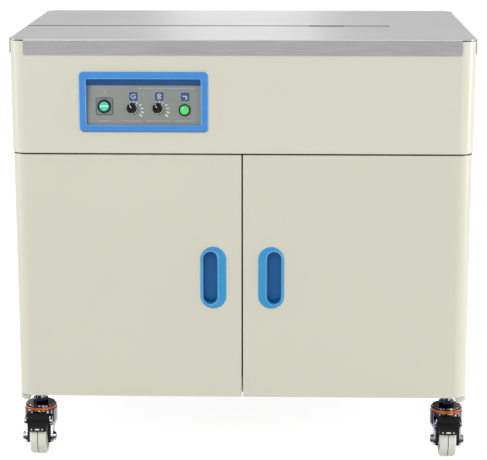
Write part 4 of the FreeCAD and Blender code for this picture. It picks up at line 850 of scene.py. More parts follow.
    def plate(self, outline: Outline, thickness: float, frame: Matrix, edge: float = 0.0) -> Shape:
        """Add a flat plate of any convex or plain outline.

        Args:
            outline: Its points, in turn round it.
            thickness: How thick it is along the frame's Z axis.
            frame: The frame that the outline is drawn in.
            edge: How far its top edge is drawn in.
        """
        middle = Vector((sum(x for x, _ in outline), sum(y for _, y in outline))) / len(outline)
        shrunk = []
        for x, y in outline:
            away = Vector((x, y)) - middle
            pulled = middle + away * (1 - min(edge / max(away.length, 0.001), 0.5))
            shrunk.append((pulled.x, pulled.y))
        rings = [(outline, 0.0), (outline, thickness - edge), (shrunk, thickness)] if edge else [
            (outline, 0.0), (outline, thickness)]
        return self.loft(rings, frame)

    def cap_screw(self, at: Point, axis: Point, radius: float = 4.0, height: float = 4.0) -> Shape:
        """Add a socket cap screw's head."""
        profile = [(radius, 0), (radius, height * 0.85), (radius * 0.92, height), (radius * 0.5, height),
                   (radius * 0.48, height * 0.45), (radius * 0.1, height * 0.4)]
        return self.turned(profile, at, axis, 18)

    def pan_screw(self, at: Point, axis: Point, radius: float = 3.2, height: float = 1.7,
                  turn: float = 20.0) -> Shape:
        """Add a domed screw's head with a cross recess, turned by so many degrees."""
        steps = 24
        frame = self.frame(at, axis, turn)
        levels = [(1.0, 0.0), (0.97, 0.35), (0.84, 0.72), (0.62, 0.94), (0.5, 0.99)]
        rings = [(self.circle(radius * share, steps), height * level) for share, level in levels]
        cross = []
        for x, y in self.circle(1.0, steps):
            arm = max(abs(x), abs(y)) > 0.93
            cross.append((x * radius * (0.5 if arm else 0.17), y * radius * (0.5 if arm else 0.17)))
        rings.append((cross, height * 0.98))
        rings.append(([(x * 0.8, y * 0.8) for x, y in cross], height * 0.3))
        return self.loft(rings, frame)

    def hex_head(self, at: Point, axis: Point, across: float, height: float, washer: float) -> Shape:
        """Add a hexagon bolt head on a washer.

        Args:
            at: The middle of the seat under the washer.
            axis: The direction that the head stands up in.
            across: Its width across the flats.
            height: The head's height over the washer.
            washer: The washer's radius.
        """
        base = 1.2
        self.disc(washer, base, at, axis, 0.3, 28)
        radius = across / math.sqrt(3)
        corners = self.circle(radius, 6)
        small = self.circle(radius * 0.9, 6)
        frame = self.frame(at, axis, 13.0)
        return self.loft([(corners, base), (corners, base + height * 0.85), (small, base + height)], frame)

    def make(self, name: str) -> bpy.types.Object:
        """Turn the forms into one object with the given name."""
        bmesh.ops.recalc_face_normals(self.mesh, faces=self.mesh.faces)
        limit = math.radians(SMOOTH_ANGLE)
        for edge in self.mesh.edges:
            edge.smooth = len(edge.link_faces) != 2 or edge.calc_face_angle(0.0) < limit
        data = bpy.data.meshes.new(name)
        self.mesh.to_mesh(data)
        self.mesh.free()
        thing = bpy.data.objects.new(name, data)
        bpy.context.scene.collection.objects.link(thing)
        return thing


@dataclass
class Workshop:
    """What every sub-assembly needs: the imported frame, the finishes and the shared effects."""

    frame: dict
    finishes: Finishes = field(default_factory=Finishes)
    effects: Effects = field(default_factory=Effects)

    def material(self, look: str) -> bpy.types.Material:
        """Make the material of a finish, or find it again."""
        return getattr(self.finishes, look).make(self.effects)

    def dress(self, nodes: Iterable[str], look: str) -> None:
        """Give CAD nodes a finish."""
        for name in nodes:
            data = self.frame["nodes"][name].data
            data.materials.clear()
            data.materials.append(self.material(look))
            LOG.info("dressed %s in %s", name, look)


def box_of(node: str) -> tuple[Vector, Vector]:
    """Find a node's lowest and highest corners in millimetres."""
    low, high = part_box(node)
    return Vector(low) / MM, Vector(high) / MM


@dataclass
class Assembly:
    """A sub-assembly of the machine."""

    shop: Workshop

    def fit(self, shape: Shape, name: str, look: str, body: str = "cabinet", slot: str = "steel") -> None:
        """Turn a shape into a piece that rides on a body.

        Args:
            shape: The finished shape.
            name: The piece's name.
            look: The name of its finish.
            body: The body that it moves with.
            slot: The material slot that it belongs to; it is not used.
        """
        piece = shape.make(name)
        piece.data.materials.append(self.shop.material(look))
        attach(piece, body)
        LOG.info("made %s on %s", name, body)

    def build(self) -> None:
        """Make the sub-assembly's own pieces, by each of its make methods in turn."""
        for name in vars(type(self)):
            if name.startswith("make_"):
                getattr(self, name)()


@dataclass
class Studio:
    """The pale floor, the soft lights and the camera."""

    floor_size: float = 60.0
    floor_colour: Colour = paint(215, 215, 215)
    floor_white: float = 0.75
    lens: float = 128.394
    eye: tuple[float, float, float] = (87.379, -3327.974, 1216.809)
    yaw: float = -1.4586
    pitch: float = 12.5367
    roll: float = 0.0181
    room_light: float = 0.49
    lights: tuple[tuple[str, Point, Point, tuple[float, float], float], ...] = (
        ("Key softbox", (-1.6, -3.4, 2.6), (0, 0, 0.5), (2.4, 1.8), 49),
        ("Fill softbox", (2.4, -3.2, 1.6), (0, 0, 0.45), (1.8, 1.6), 20.5),
        ("Left strip", (-2.4, -0.4, 0.9), (-0.3, 0, 0.45), (0.5, 1.6), 11),
        ("Right strip", (2.4, -0.4, 0.9), (0.3, 0, 0.45), (0.5, 1.6), 20),
        ("Back softbox", (-0.07, 2.6, 1.55), (0.0, 0, 0.85), (0.55, 0.7), 1.1),
        ("Top softbox", (0.0, 0.3, 3.2), (0, 0, 0.8), (2.2, 1.6), 17))

    @staticmethod
    def seen_directly(graph: NodeGraph) -> Socket:
        """Find where a ray comes straight from the camera, a mirror or glass."""
        path = graph.add("LightPath")
        seen = graph.maths("MAXIMUM", path.outputs["Is Camera Ray"], path.outputs["Is Glossy Ray"])
        return graph.maths("MAXIMUM", seen, path.outputs["Is Transmission Ray"])

    def make_floor(self) -> None:
        """Make the large pale floor, which stays near white and keeps the shadow."""
        half = self.floor_size / 2 / MM
        shape = Shape()
        shape.plate([(half, half), (-half, half), (-half, -half), (half, -half)], 20.0,
                    Matrix.Translation((0, 0, -20.4)))
        floor = shape.make("floor")
        material = bpy.data.materials.new("Pale floor")
        material.use_nodes = True
        graph = NodeGraph(material.node_tree)
        graph.tree.nodes.clear()
        cloud = graph.noise(graph.add("TexCoord").outputs["Object"], 0.6, 2.0)
        diffuse = graph.add("BsdfDiffuse")
        tone = graph.spread(cloud, 0.985, 1.0)
        base = graph.add("RGB")
        base.outputs[0].default_value = (*self.floor_colour, 1.0)
        graph.link(graph.shade(base.outputs[0], tone), diffuse.inputs["Color"])
        glow = graph.add("Emission")
        graph.link(graph.maths("MULTIPLY", self.seen_directly(graph), self.floor_white), glow.inputs["Strength"])
        both = graph.add("AddShader")
        graph.link(diffuse.outputs[0], both.inputs[0])
        graph.link(glow.outputs[0], both.inputs[1])
        graph.link(both.outputs[0], graph.add("OutputMaterial").inputs["Surface"])
        floor.data.materials.append(material)

    def make_world(self) -> None:
        """Make a white room whose light on the object is softer than its look."""
        world = bpy.data.worlds.new("White room")
        bpy.context.scene.world = world
        world.use_nodes = True
        graph = NodeGraph(world.node_tree)
        graph.tree.nodes.clear()
        backdrop = graph.add("Background")
        seen = self.seen_directly(graph)
        level = graph.maths("ADD", graph.maths("MULTIPLY", seen, 1.0 - self.room_light), self.room_light)
        graph.link(level, backdrop.inputs["Strength"])
        graph.link(backdrop.outputs[0], graph.add("OutputWorld").inputs["Surface"])

    @staticmethod
    def make_light(name: str, at: Point, aim: Point, size: tuple[float, float], power: float) -> None:
        """Hang one softbox.

        Args:
            name: Its name.
            at: Its place in metres.
            aim: The point that it faces.
            size: Its width and height in metres.
            power: Its power in watts.
        """
        data = bpy.data.lights.new(name, "AREA")
        data.shape = "RECTANGLE"
        data.size, data.size_y = size
        data.energy = power
        light = bpy.data.objects.new(name, data)
        light.location = at
        light.rotation_euler = (Vector(aim) - Vector(at)).to_track_quat("-Z", "Y").to_euler()
        bpy.context.scene.collection.objects.link(light)
        LOG.info("hung %s", name)

    def make_camera(self, table_front: float) -> None:
        """Put the camera where the photograph was taken from.

        Args:
            table_front: The table's front in millimetres.
        """
        yaw, pitch, roll = (math.radians(angle) for angle in (self.yaw, self.pitch, self.roll))
        ahead = Vector((math.sin(yaw) * math.cos(pitch), math.cos(yaw) * math.cos(pitch), -math.sin(pitch)))
        right = Vector((math.cos(yaw), -math.sin(yaw), 0))
        down = ahead.cross(right)
        turned_right = right * math.cos(roll) + down * math.sin(roll)
        turned_down = down * math.cos(roll) - right * math.sin(roll)
        data = bpy.data.cameras.new("Front camera")
        data.lens = self.lens
        data.sensor_width = 36.0
        data.sensor_fit = "HORIZONTAL"
        camera = bpy.data.objects.new("Front camera", data)
        basis = Matrix((turned_right, -turned_down, -ahead)).transposed().to_4x4()
        x, y, z = self.eye
        camera.matrix_world = Matrix.Translation(Vector((x, y + table_front, z)) * MM) @ basis
        bpy.context.scene.collection.objects.link(camera)
        bpy.context.scene.camera = camera

    def build(self, table_front: float) -> None:
        """Set up the whole studio.

        Args:
            table_front: The table's front in millimetres.
        """
        self.make_floor()
        self.make_world()
        for light in self.lights:
            self.make_light(*light)
        self.make_camera(table_front)
        LOG.info("set up the studio")


@dataclass
class ControlPanel(Assembly):
    """The bezel with its tilted plate, the power switch, two dials and the push button."""

    middle: tuple[float, float, float] = (-190.8, -286.3685, 721.3)
    tilt: float = 7.5449
    switch_at: tuple[float, float] = (-77.1, -2.2)
    dials_at: tuple[tuple[float, float], ...] = ((-23.0, -6.0), (27.0, -6.0))
    button_at: tuple[float, float] = (79.0, -9.2)
    dial_face: float = 15.1
    print_thickness: float = 0.25
    tile: float = 16.2
    tiles_at: tuple[tuple[float, float], ...] = ((-20.5, 17.1), (29.7, 17.1), (80.0, 16.4))
    rays: tuple[tuple[float, float], ...] = ((111.0, 13.2), (77.0, 12.6), (48.0, 14.0), (22.0, 17.3),
                                             (0.0, 18.9), (-21.0, 21.1), (-39.0, 21.9))
    rules: tuple[tuple[float, float], ...] = ((-77.6, 23.0), (-21.6, 34.6), (28.8, 48.0), (77.7, 34.6))
    rules_below: float = -30.3
    long_rule: tuple[float, float, float] = (42.8, 32.8, 110.0)
    rule_width: float = 0.8
    switch_signs: tuple[float, float] = (25.2, 32.2)
    rocker_tilt: float = 6.0
    pointer_turn: float = 124.0
    board_depth: float = -46.0
    chips: tuple[Point, ...] = ((-60, 14, 22, 8), (-30, 16, 12, 12), (70, 12, 18, 7), (10, 20, 14, 6))
    capacitors: tuple[Point, ...] = ((-78, -2, 5, 12), (-78, 12, 4, 9), (48, 18, 6, 14), (88, 20, 3.5, 8),
                                     (0, 4, 4, 9))
    button_top: float = 5.0

    @property
    def place(self) -> Matrix:
        """The frame of the plate's face, with X to the right and Y up the plate."""
        return Matrix.Translation(Vector(self.middle)) @ Matrix.Rotation(math.radians(90 - self.tilt), 4, "X")

    def flat(self, shape: Shape, x: float, y: float, width: float, height: float, turn: float = 0.0,
             level: float = 0.0) -> None:
        """Lay a thin printed mark on the plate.

        Args:
            shape: The shape that it is added to.
            x: Its middle to the right.
            y: Its middle up the plate.
            width: Its width.
            height: Its height.
            turn: How far it is turned, in degrees.
            level: How far over the plate it starts.
        """
        frame = Matrix.Translation((x, y, level)) @ Matrix.Rotation(math.radians(turn), 4, "Z")
        radius = min(width, height) * 0.3
        shape.plate(Shape.rounded(width, height, radius, 2), self.print_thickness, frame)

    def make_rays(self) -> None:
        """Print the rays round the two dials, growing from left to right."""
        shape = Shape(self.place)
        for x, y in self.dials_at:
            for index, (turn, reach) in enumerate(self.rays):
                angle = math.radians(turn)
                self.flat(shape, x + reach * math.cos(angle), y + reach * math.sin(angle), 3.0 + 0.55 * index,
                          1.2 + 0.25 * index, turn)
        self.fit(shape, "dial_rays", "pale_print", "cabinet", "panel_metal")

    def make_rules(self) -> None:
        """Print plain pale rules where the panel's legends stand, and the two signs of the switch."""
        shape = Shape(self.place)
        for x, width in self.rules:
            self.flat(shape, x, self.rules_below, width, self.rule_width)
        self.flat(shape, *self.long_rule, self.rule_width)
        switch_x = self.switch_at[0]
        line_height, ring_height = self.switch_signs
        self.flat(shape, switch_x, line_height, 1.1, 5.4)
        frame = self.place @ Matrix.Translation((switch_x, ring_height, self.print_thickness * 0.6))
        axis = frame.to_3x3() @ Vector((0, 0, 1))
        world = Shape()
        world.ring(2.7, 0.42, frame.translation, axis, 28, 6)
        self.fit(shape, "panel_rules", "faint_print", "cabinet", "panel_metal")
        self.fit(world, "switch_sign", "faint_print", "cabinet", "panel_metal")

    def make_tiles(self) -> None:
        """Print the three blue tiles with a plain sign on each: a coil, a pulled strap and a turning arrow."""
        tiles = Shape(self.place)
        signs = Shape(self.place)
        top = self.print_thickness
        for x, y in self.tiles_at:
            tiles.plate(Shape.rounded(self.tile, self.tile, 1.8, 3), top, Matrix.Translation((x, y, 0)))
        (x0, y0), (x1, y1), (x2, y2) = self.tiles_at
        for turn in range(40, 40 + 14 * 22, 22):
            angle = math.radians(turn)
            self.flat(signs, x0 + 4.2 * math.cos(angle), y0 + 4.2 * math.sin(angle), 1.9, 1.3, turn + 90, top)
        self.flat(signs, x0 + 2.4, y0 - 0.4, 4.2, 1.3, 0, top)
        for turn in (38, -38):
            self.flat(signs, x1, y1, 10.5, 1.4, turn, top)
        self.flat(signs, x1, y1 + 4.6, 6.0, 1.2, 0, top)
        self.flat(signs, x1, y1 - 4.6, 6.0, 1.2, 0, top)
        self.flat(signs, x2 - 1.2, y2 + 1.2, 8.0, 1.5, 0, top)
        self.flat(signs, x2 + 3.0, y2 - 1.2, 1.4, 6.0, 0, top)
        for turn in (45, -45):
            self.flat(signs, x2 + 1.6 + (1.0 if turn > 0 else 0), y2 - 3.6, 4.0, 1.2, turn, top)
        self.fit(tiles, "sign_tiles", "tile_blue", "cabinet", "panel_metal")
        self.fit(signs, "tile_signs", "pale_print", "cabinet", "panel_metal")

    def make_dial_caps(self) -> None:
        """Give each dial a turned cap, a pointer line with an arc, and a nut under its skirt."""
        for name, (x, y) in zip(("feed_knob", "tension_knob"), self.dials_at):
            cap = Shape(self.place)
            cap.turned([(6.9, 0), (6.9, 0.25), (6.3, 0.42), (5.2, 0.3), (1.0, 0.22)],
                       (x, y, self.dial_face - 0.3), (0, 0, 1), 36)
            self.fit(cap, f"{name}_cap", "black_plastic", name, "black_plastic")
            line = Shape(self.place)
            self.flat(line, x - 2.2, y + 3.3, 5.6, 1.25, self.pointer_turn, self.dial_face + 0.08)
            line.plate(Shape.rounded(3.2, 1.3, 0.3, 2), 2.0, Matrix.Translation((x, y, 0))
                       @ Matrix.Rotation(math.radians(self.pointer_turn), 4, "Z") @ Matrix.Translation((9.0, 0, 1.2)))
            edge = [math.radians(turn) for turn in range(-110, 51, 10)]
            line.sweep([(x + 9.9 * math.cos(turn), y + 9.9 * math.sin(turn), 3.3) for turn in edge], 0.6, 6)
            self.fit(line, f"{name}_pointer", "pale_print", name, "black_plastic")
            nut = Shape(self.place)
            nut.loft([(Shape.circle(7.4, 6), 0.02), (Shape.circle(7.4, 6), 0.5)], Matrix.Translation((x, y, 0)))
            self.fit(nut, f"{name}_nut", "turned_steel")

    def make_rocker_face(self) -> None:
        """Dish the rocker, with its lit signs, and draw the line and the collar round it."""
        x, y = self.switch_at
        frame = (self.place @ Matrix.Translation((x, y, 3.0))
                 @ Matrix.Rotation(math.radians(self.rocker_tilt), 4, "X"))
        face = Shape(frame)
        face.turned([(9.4, 0), (9.3, 0.35), (8.6, 0.75), (5.0, 0.45), (0.6, 0.35)], (0, 0, 2.9), (0, 0, 1), 40)
        self.fit(face, "rocker_face", "teal_lens", "power_rocker", "green_lens")
        band = Shape(frame)
        band.plate(Shape.rounded(15.4, 3.3, 1.2, 3), 0.4, Matrix.Translation((0, 0.5, 3.45)), 0.15)
        band.plate(Shape.rounded(1.3, 3.6, 0.4, 2), 0.35, Matrix.Translation((0, -4.6, 3.42)))
        self.fit(band, "rocker_signs", "glow_white", "power_rocker", "green_lens")
        ring = Shape(self.place)
        edge = [(x + across, y + up, 2.0) for across, up in Shape.rounded(31.6, 31.6, 3.0, 4)]
        ring.sweep(edge + [edge[0]], 0.35, 6)
        ring.turned([(13.0, 0), (12.9, 0.5), (12.2, 0.9), (10.5, 0.9), (10.35, 0.3)], (x, y, 4.9), (0, 0, 1), 44,
                    closed=False)
        self.fit(ring, "rocker_collar", "black_plastic", "cabinet", "grey_plastic")

    def make_button_face(self) -> None:
        """Dome the push button's lens and roll its collar."""
        x, y = self.button_at
        lens = Shape(self.place)
        lens.turned([(8.7, 0), (8.6, 0.5), (8.0, 1.3), (6.6, 2.0), (4.4, 2.5), (2.0, 2.75), (0.2, 2.8)],
                    (x, y, self.button_top - 0.05), (0, 0, 1), 40)
        self.fit(lens, "reset_button_dome", "green_lens", "reset_button", "green_lens")
        collar = Shape(self.place)
        collar.turned([(11.5, 0), (11.4, 0.7), (10.7, 1.3), (9.6, 1.3), (9.2, 0.7), (9.1, 0.0)], (x, y, 3.45),
                      (0, 0, 1), 44, closed=False)
        self.fit(collar, "reset_button_collar", "black_plastic", "cabinet", "black_plastic")

    def make_seams(self) -> None:
        """Run a raised bead round the bezel's mouth, in a lighter blue that paints its highlight."""
        low, high = box_of("panel_bezel")
        bead = Shape()
        middle = (low + high) / 2
        mouth = [(middle.x + x, low.y + 0.15, middle.z - 0.2 + z) for x, z in Shape.rounded(223.8, 91.6, 3.5, 4)]
        bead.sweep(mouth + [mouth[0]], 0.75, 8)
        self.fit(bead, "bezel_bead", "highlight_blue", "cabinet", "blue_plastic")

    def make_board_parts(self) -> None:
        """Fill the circuit board with chips, capacitors and a row of wire clamps."""
        back = self.board_depth
        chips = Shape(self.place)
        pins = Shape(self.place)
        cans = Shape(self.place)
        clamps = Shape(self.place)
        for x, y, width, height in self.chips:
            chips.block((x - width / 2, y - height / 2, back - 4.4), (x + width / 2, y + height / 2, back - 1.7), 0.4)
            for index in range(int(width / 2.5)):
                pin = x - width / 2 + 1.6 + index * 2.5
                for side in (-1, 1):
                    edge = y + side * (height / 2 + 0.8)
                    pins.block((pin - 0.35, edge - 0.8, back - 2.6), (pin + 0.35, edge + 0.8, back - 1.65), 0.1)
        for x, y, radius, height in self.capacitors:
            cans.turned([(radius, 0), (radius, 1.2), (radius * 0.9, 1.7), (radius, 2.2), (radius, height - 0.6),
                         (radius * 0.9, height)], (x, y, back - 1.6), (0, 0, -1), 24)
        for index in range(8):
            x = -72 + index * 7.2
            clamps.block((x, 24, back - 11.5), (x + 6.6, 31, back - 1.6), 0.5)
            pins.disc(2.1, 0.5, (x + 3.3, 27.5, back - 11.4), (0, 0, -1), 0.1, 16)
        self.fit(chips, "board_chips", "black_plastic", "cabinet", "circuit_board")
        self.fit(pins, "board_pins", "turned_steel", "cabinet", "circuit_board")
        self.fit(cans, "board_capacitors", "aluminium", "cabinet", "circuit_board")
        self.fit(clamps, "board_clamps", "clamp_green", "cabinet", "circuit_board")


@dataclass
class Casters(Assembly):
    """The four swivelling wheels, two of them with a foot brake."""

    trail: float = 28.0
    wheel_radius: float = 35.0
    wheel_half: float = 16.25
    leg_outside: float = 27.5
    nut_end: float = 33.0
    hood_radius: float = 45.5
    pips: tuple[float, ...] = (-11.4, 0.0, 10.3)
    pip_angle: float = 33.6
    pedal_foot_width: float = 36.0
    pedal_widening: float = 11.0
    pedal_foot_height: float = 54.9
    pedal_rise: float = 30.1
    guard_sides: tuple[float, float] = (17.5, 24.0)
    guard_heights: tuple[float, float] = (24.0, 70.0)

    def centre(self, corner: Corner) -> tuple[float, float]:
        """Find the upright axis of a caster."""
        return (-CASTER_X if "left" in corner.value else CASTER_X,
                CASTER_FRONT if "front" in corner.value else CASTER_REAR)

    def make_wheel_details(self, corner: Corner) -> None:
        """Give a wheel its moulding ribs, bearing rings and the dark line round its tread."""
        x, y = self.centre(corner)
        axle = y - self.trail
        body = f"wheel_{corner.value}"
        ribs = Shape()
        rings = Shape()
        for side in (-1, 1):
            face = x + side * (self.wheel_half - 4.0)
            for index in range(8):
                angle = math.tau * index / 8
                ribs.sweep([(face + side * 0.2, axle + reach * math.cos(angle),
                             self.wheel_radius + reach * math.sin(angle)) for reach in (13.2, 26.4)], 1.5, 8)
            rings.turned([(11.4, 0), (11.2, 0.8), (10.0, 1.2), (8.9, 1.2), (8.7, 0.2)],
                         (x + side * (self.wheel_half - 0.4), axle, self.wheel_radius), (side, 0, 0), 32,
                         closed=False)
        self.fit(ribs, f"wheel_ribs_{corner.value}", "wheel_nylon", body, "wheel_nylon")
        self.fit(rings, f"wheel_bearing_{corner.value}", "turned_steel", body, "steel")
        seam = Shape()
        seam.turned([(33.55, -0.85), (33.75, -0.7), (33.75, 0.7), (33.55, 0.85)],
                    (x, axle, self.wheel_radius), (1, 0, 0), 72, closed=False)
        self.fit(seam, f"wheel_seam_{corner.value}", "tread_line_dark", body, "wheel_nylon")

    def make_fork_details(self, corner: Corner) -> None:
        """Give a fork its nuts, bolt ends and guards, and the rims over it."""
        x, y = self.centre(corner)
        axle = y - self.trail
        body = f"fork_{corner.value}"
        metal = Shape()
        for side in (-1, 1):
            at = (x + side * self.leg_outside, axle, self.wheel_radius)
            metal.turned([(9.8, 0), (9.8, 1.1), (9.4, 1.4)], at, (side, 0, 0), 32)
            end = (x + side * self.nut_end, axle, self.wheel_radius)
            metal.turned([(6.9, 0), (6.5, 0.6), (5.4, 0.8), (5.2, 0.6)], end, (side, 0, 0), 28)
        metal.ring(32.2, 0.9, (x, y, 87.4), (0, 0, 1), 64, 8)
        self.fit(metal, f"fork_fittings_{corner.value}", "chrome", body, "chrome")
        guards = Shape()
        for side in (-1, 1):
            near, far = sorted(x + side * reach for reach in self.guard_sides)
            low, high = self.guard_heights
            guards.block((near, axle - 12.0, low), (far, axle - 9.0, high), 0.6)
        self.fit(guards, f"fork_guards_{corner.value}", "black_plastic", body, "chrome")
        # Dark discs paint the shadow inside the axle sockets.
        holes = Shape()
        for side in (-1, 1):
            end = (x + side * (self.nut_end + 0.5), axle, self.wheel_radius)
            holes.turned([(3.6, 0), (3.4, 0.35), (0.4, 0.3)], end, (side, 0, 0), 6)
        self.fit(holes, f"axle_sockets_{corner.value}", "socket_shade_black", body, "chrome")
        rims = Shape()
        for height in (88.9, 94.1):
            rims.ring(31.3, 0.75, (x, y, height), (0, 0, 1), 64, 8)
        self.fit(rims, f"race_rims_{corner.value}", "race_copper", "cabinet", "copper_race")
        crown = Shape()
        crown.ring(28.6, 0.8, (x, y, 97.9), (0, 0, 1), 64, 8)
        crown.turned([(12.5, 0), (12.3, 1.0), (11.0, 1.4)], (x, y, 98.7), (0, 0, 1), 28)
        crown.disc(13.6, 1.6, (x, y, 121.2), (0, 0, 1), 0.4)
        self.fit(crown, f"stem_washers_{corner.value}", "chrome", "cabinet", "chrome")

    def make_pedal_details(self, corner: Corner) -> None:
        """Give a pedal its row of pale pips, grip ribs and pin ends."""
        x, y = self.centre(corner)
        axle = y - self.trail
        body = f"brake_{corner.value}"

        def on_hood(angle: float, lift: float) -> tuple[float, float]:
            turn = math.radians(angle)
            radius = self.hood_radius + lift
            return axle - radius * math.cos(turn), self.wheel_radius + radius * math.sin(turn)

        def half_width(height: float) -> float:
            share = (height - self.pedal_foot_height) / self.pedal_rise
            return (self.pedal_foot_width + self.pedal_widening * share) / 2

        pips = Shape()
        turn = math.radians(self.pip_angle)
        depth, height = on_hood(self.pip_angle, -0.15)
        for index, offset in enumerate(self.pips):
            width = 9.0 if index == 1 else 2.6
            frame = Shape.frame((x + offset, depth, height), (0, -math.cos(turn), math.sin(turn)))
            pips.plate(Shape.rounded(width, 2.6, 1.1, 3), 0.45, frame, 0.2)
        self.fit(pips, f"pedal_pips_{corner.value}", "pale_print", body, "black_plastic")
        ribs = Shape()
        for angle in (41.5, 46.0, 50.5, 55.0):
            depth, height = on_hood(angle, 0.05)
            half = half_width(height) - 3.0
            ribs.sweep([(x - half, depth, height), (x + half, depth, height)], 0.75, 8)
        depth, height = on_hood(30.0, -0.6)
        half = half_width(height) - 0.2
        ribs.sweep([(x - half, depth, height), (x + half, depth, height)], 1.0, 8)
        for side in (-1, 1):
            edge = [on_hood(angle, 0.0) for angle in range(30, 63, 4)]
            ribs.sweep([(x + side * (half_width(z) - 0.9), y, z) for y, z in edge], 0.9, 8)
        self.fit(ribs, f"pedal_ribs_{corner.value}", "pedal_black", body, "black_plastic")
        ends = Shape()
        for side in (-1, 1):
            ends.turned([(4.4, 0), (4.2, 0.9), (2.8, 1.3)], (x + side * self.leg_outside, y - 44.5, 72.0),
                        (side, 0, 0), 20)
        self.fit(ends, f"pedal_pin_ends_{corner.value}", "chrome", body, "black_plastic")

    def build(self) -> None:
        """Make the pieces of all four casters."""
        for corner in Corner:
            self.make_wheel_details(corner)
            self.make_fork_details(corner)
            if corner.braked:
                self.make_pedal_details(corner)


@dataclass
class Cabinet(Assembly):
    """The cover, the side and back sheets, the frame and what is fixed to them."""

    screw_columns: tuple[float, ...] = (-428.0, -214.0, 0.0, 214.0, 428.0)
    screw_rows: tuple[float, ...] = (146.0, 390.0, 610.0)
    top_screw_height: float = 822.0
    weld_places: tuple[float, ...] = (-446.6, -417.6, 417.6, 446.6)
    weld_runs: tuple[tuple[float, float], ...] = ((-257.0, -228.6), (262.0, 290.6))
    weld_height: float = 162.3
    tack_rows: tuple[float, float] = (-226.0, 259.0)
    catch_middle: float = 42.0

    def make_back_fittings(self) -> None:
        """Put the screws round the back panel and the ribs on the cable gland."""
        screws = Shape()
        for x in self.screw_columns:
            for z in (self.screw_rows if abs(x) > 400 else (self.screw_rows[0],)):
                screws.pan_screw((x, BODY_BACK, z), (0, 1, 0), 3.6, 1.9, 13 + x % 37)
        for x in (self.screw_columns[0], self.screw_columns[-1]):
            screws.pan_screw((x, BODY_BACK, self.top_screw_height), (0, 1, 0), 3.6, 1.9, 41)
        self.fit(screws, "back_panel_screws", "turned_steel")
        gland = Shape()
        low, high = box_of("cable_gland")
        x, z = (low.x + high.x) / 2, (low.z + high.z) / 2
        gland.turned([(8.9, 0), (8.7, 2.4), (7.6, 3.6), (5.2, 4.0), (4.6, 3.2)], (x, high.y - 3.9, z), (0, 1, 0), 36,
                     closed=False)
        for index in range(12):
            angle = math.tau * index / 12
            gland.sweep([(x + 8.9 * math.cos(angle), high.y - 3.6, z + 8.9 * math.sin(angle)),
                         (x + 8.9 * math.cos(angle), high.y - 1.4, z + 8.9 * math.sin(angle))], 0.7, 6)
        gland.ring(4.6, 0.9, (x, high.y - 0.9, z), (0, 1, 0), 28, 8)
        self.fit(gland, "gland_nut", "black_plastic", "cabinet", "black_plastic")

    def make_welds(self) -> None:
        """Lay the weld beads where the posts stand on the base and the tray is tacked down."""
        beads = Shape()
        steps = 9
        for x in self.weld_places:
            for y0, y1 in self.weld_runs:
                path = [(x, y0 + (y1 - y0) * step / steps, self.weld_height + 0.25 * math.sin(step * 2.4))
                        for step in range(steps + 1)]
                beads.sweep(path, 1.25, 8)
        for x in range(-360, 361, 120):
            for y in self.tack_rows:
                beads.turned([(5.0, 0), (4.4, 0.5), (2.6, 0.8), (0.4, 0.9)], (x, y, TRAY_TOP), (0, 0, 1), 16)
        self.fit(beads, "frame_welds", "frame_cream", "cabinet", "frame_paint")

    def make_catches(self) -> None:
        """Put the magnets' pole plates and the screws on the door catches."""
        poles = Shape()
        screws = Shape()
        low, high = box_of("door_catches")
        for side in (-1, 1):
            for offset in (-8.0, 8.0):
                x = side * self.catch_middle + offset
                poles.block((x - 1.0, low.y - 0.12, low.z + 1.5), (x + 1.0, low.y + 6, low.z + 9.5), 0.1)
            for offset in (-15.0, 15.0):
                screws.pan_screw((side * self.catch_middle + offset, high.y - 8.0, low.z), (0, 0, -1), 2.8, 1.4)
        self.fit(poles, "catch_poles", "turned_steel", "cabinet", "black_plastic")
        self.fit(screws, "catch_screws", "turned_steel", "cabinet", "black_plastic")

    def make_foot_bolts(self) -> None:
        """Put bolt heads on the inside of the base where the casters are held."""
        bolts = Shape()
        for x in (-CASTER_X, CASTER_X):
            for y in (CASTER_FRONT, CASTER_REAR):
                bolts.hex_head((x, y, TRAY_TOP), (0, 0, 1), 18.0, 7.0, 13.0)
        self.fit(bolts, "caster_bolts", "turned_steel")


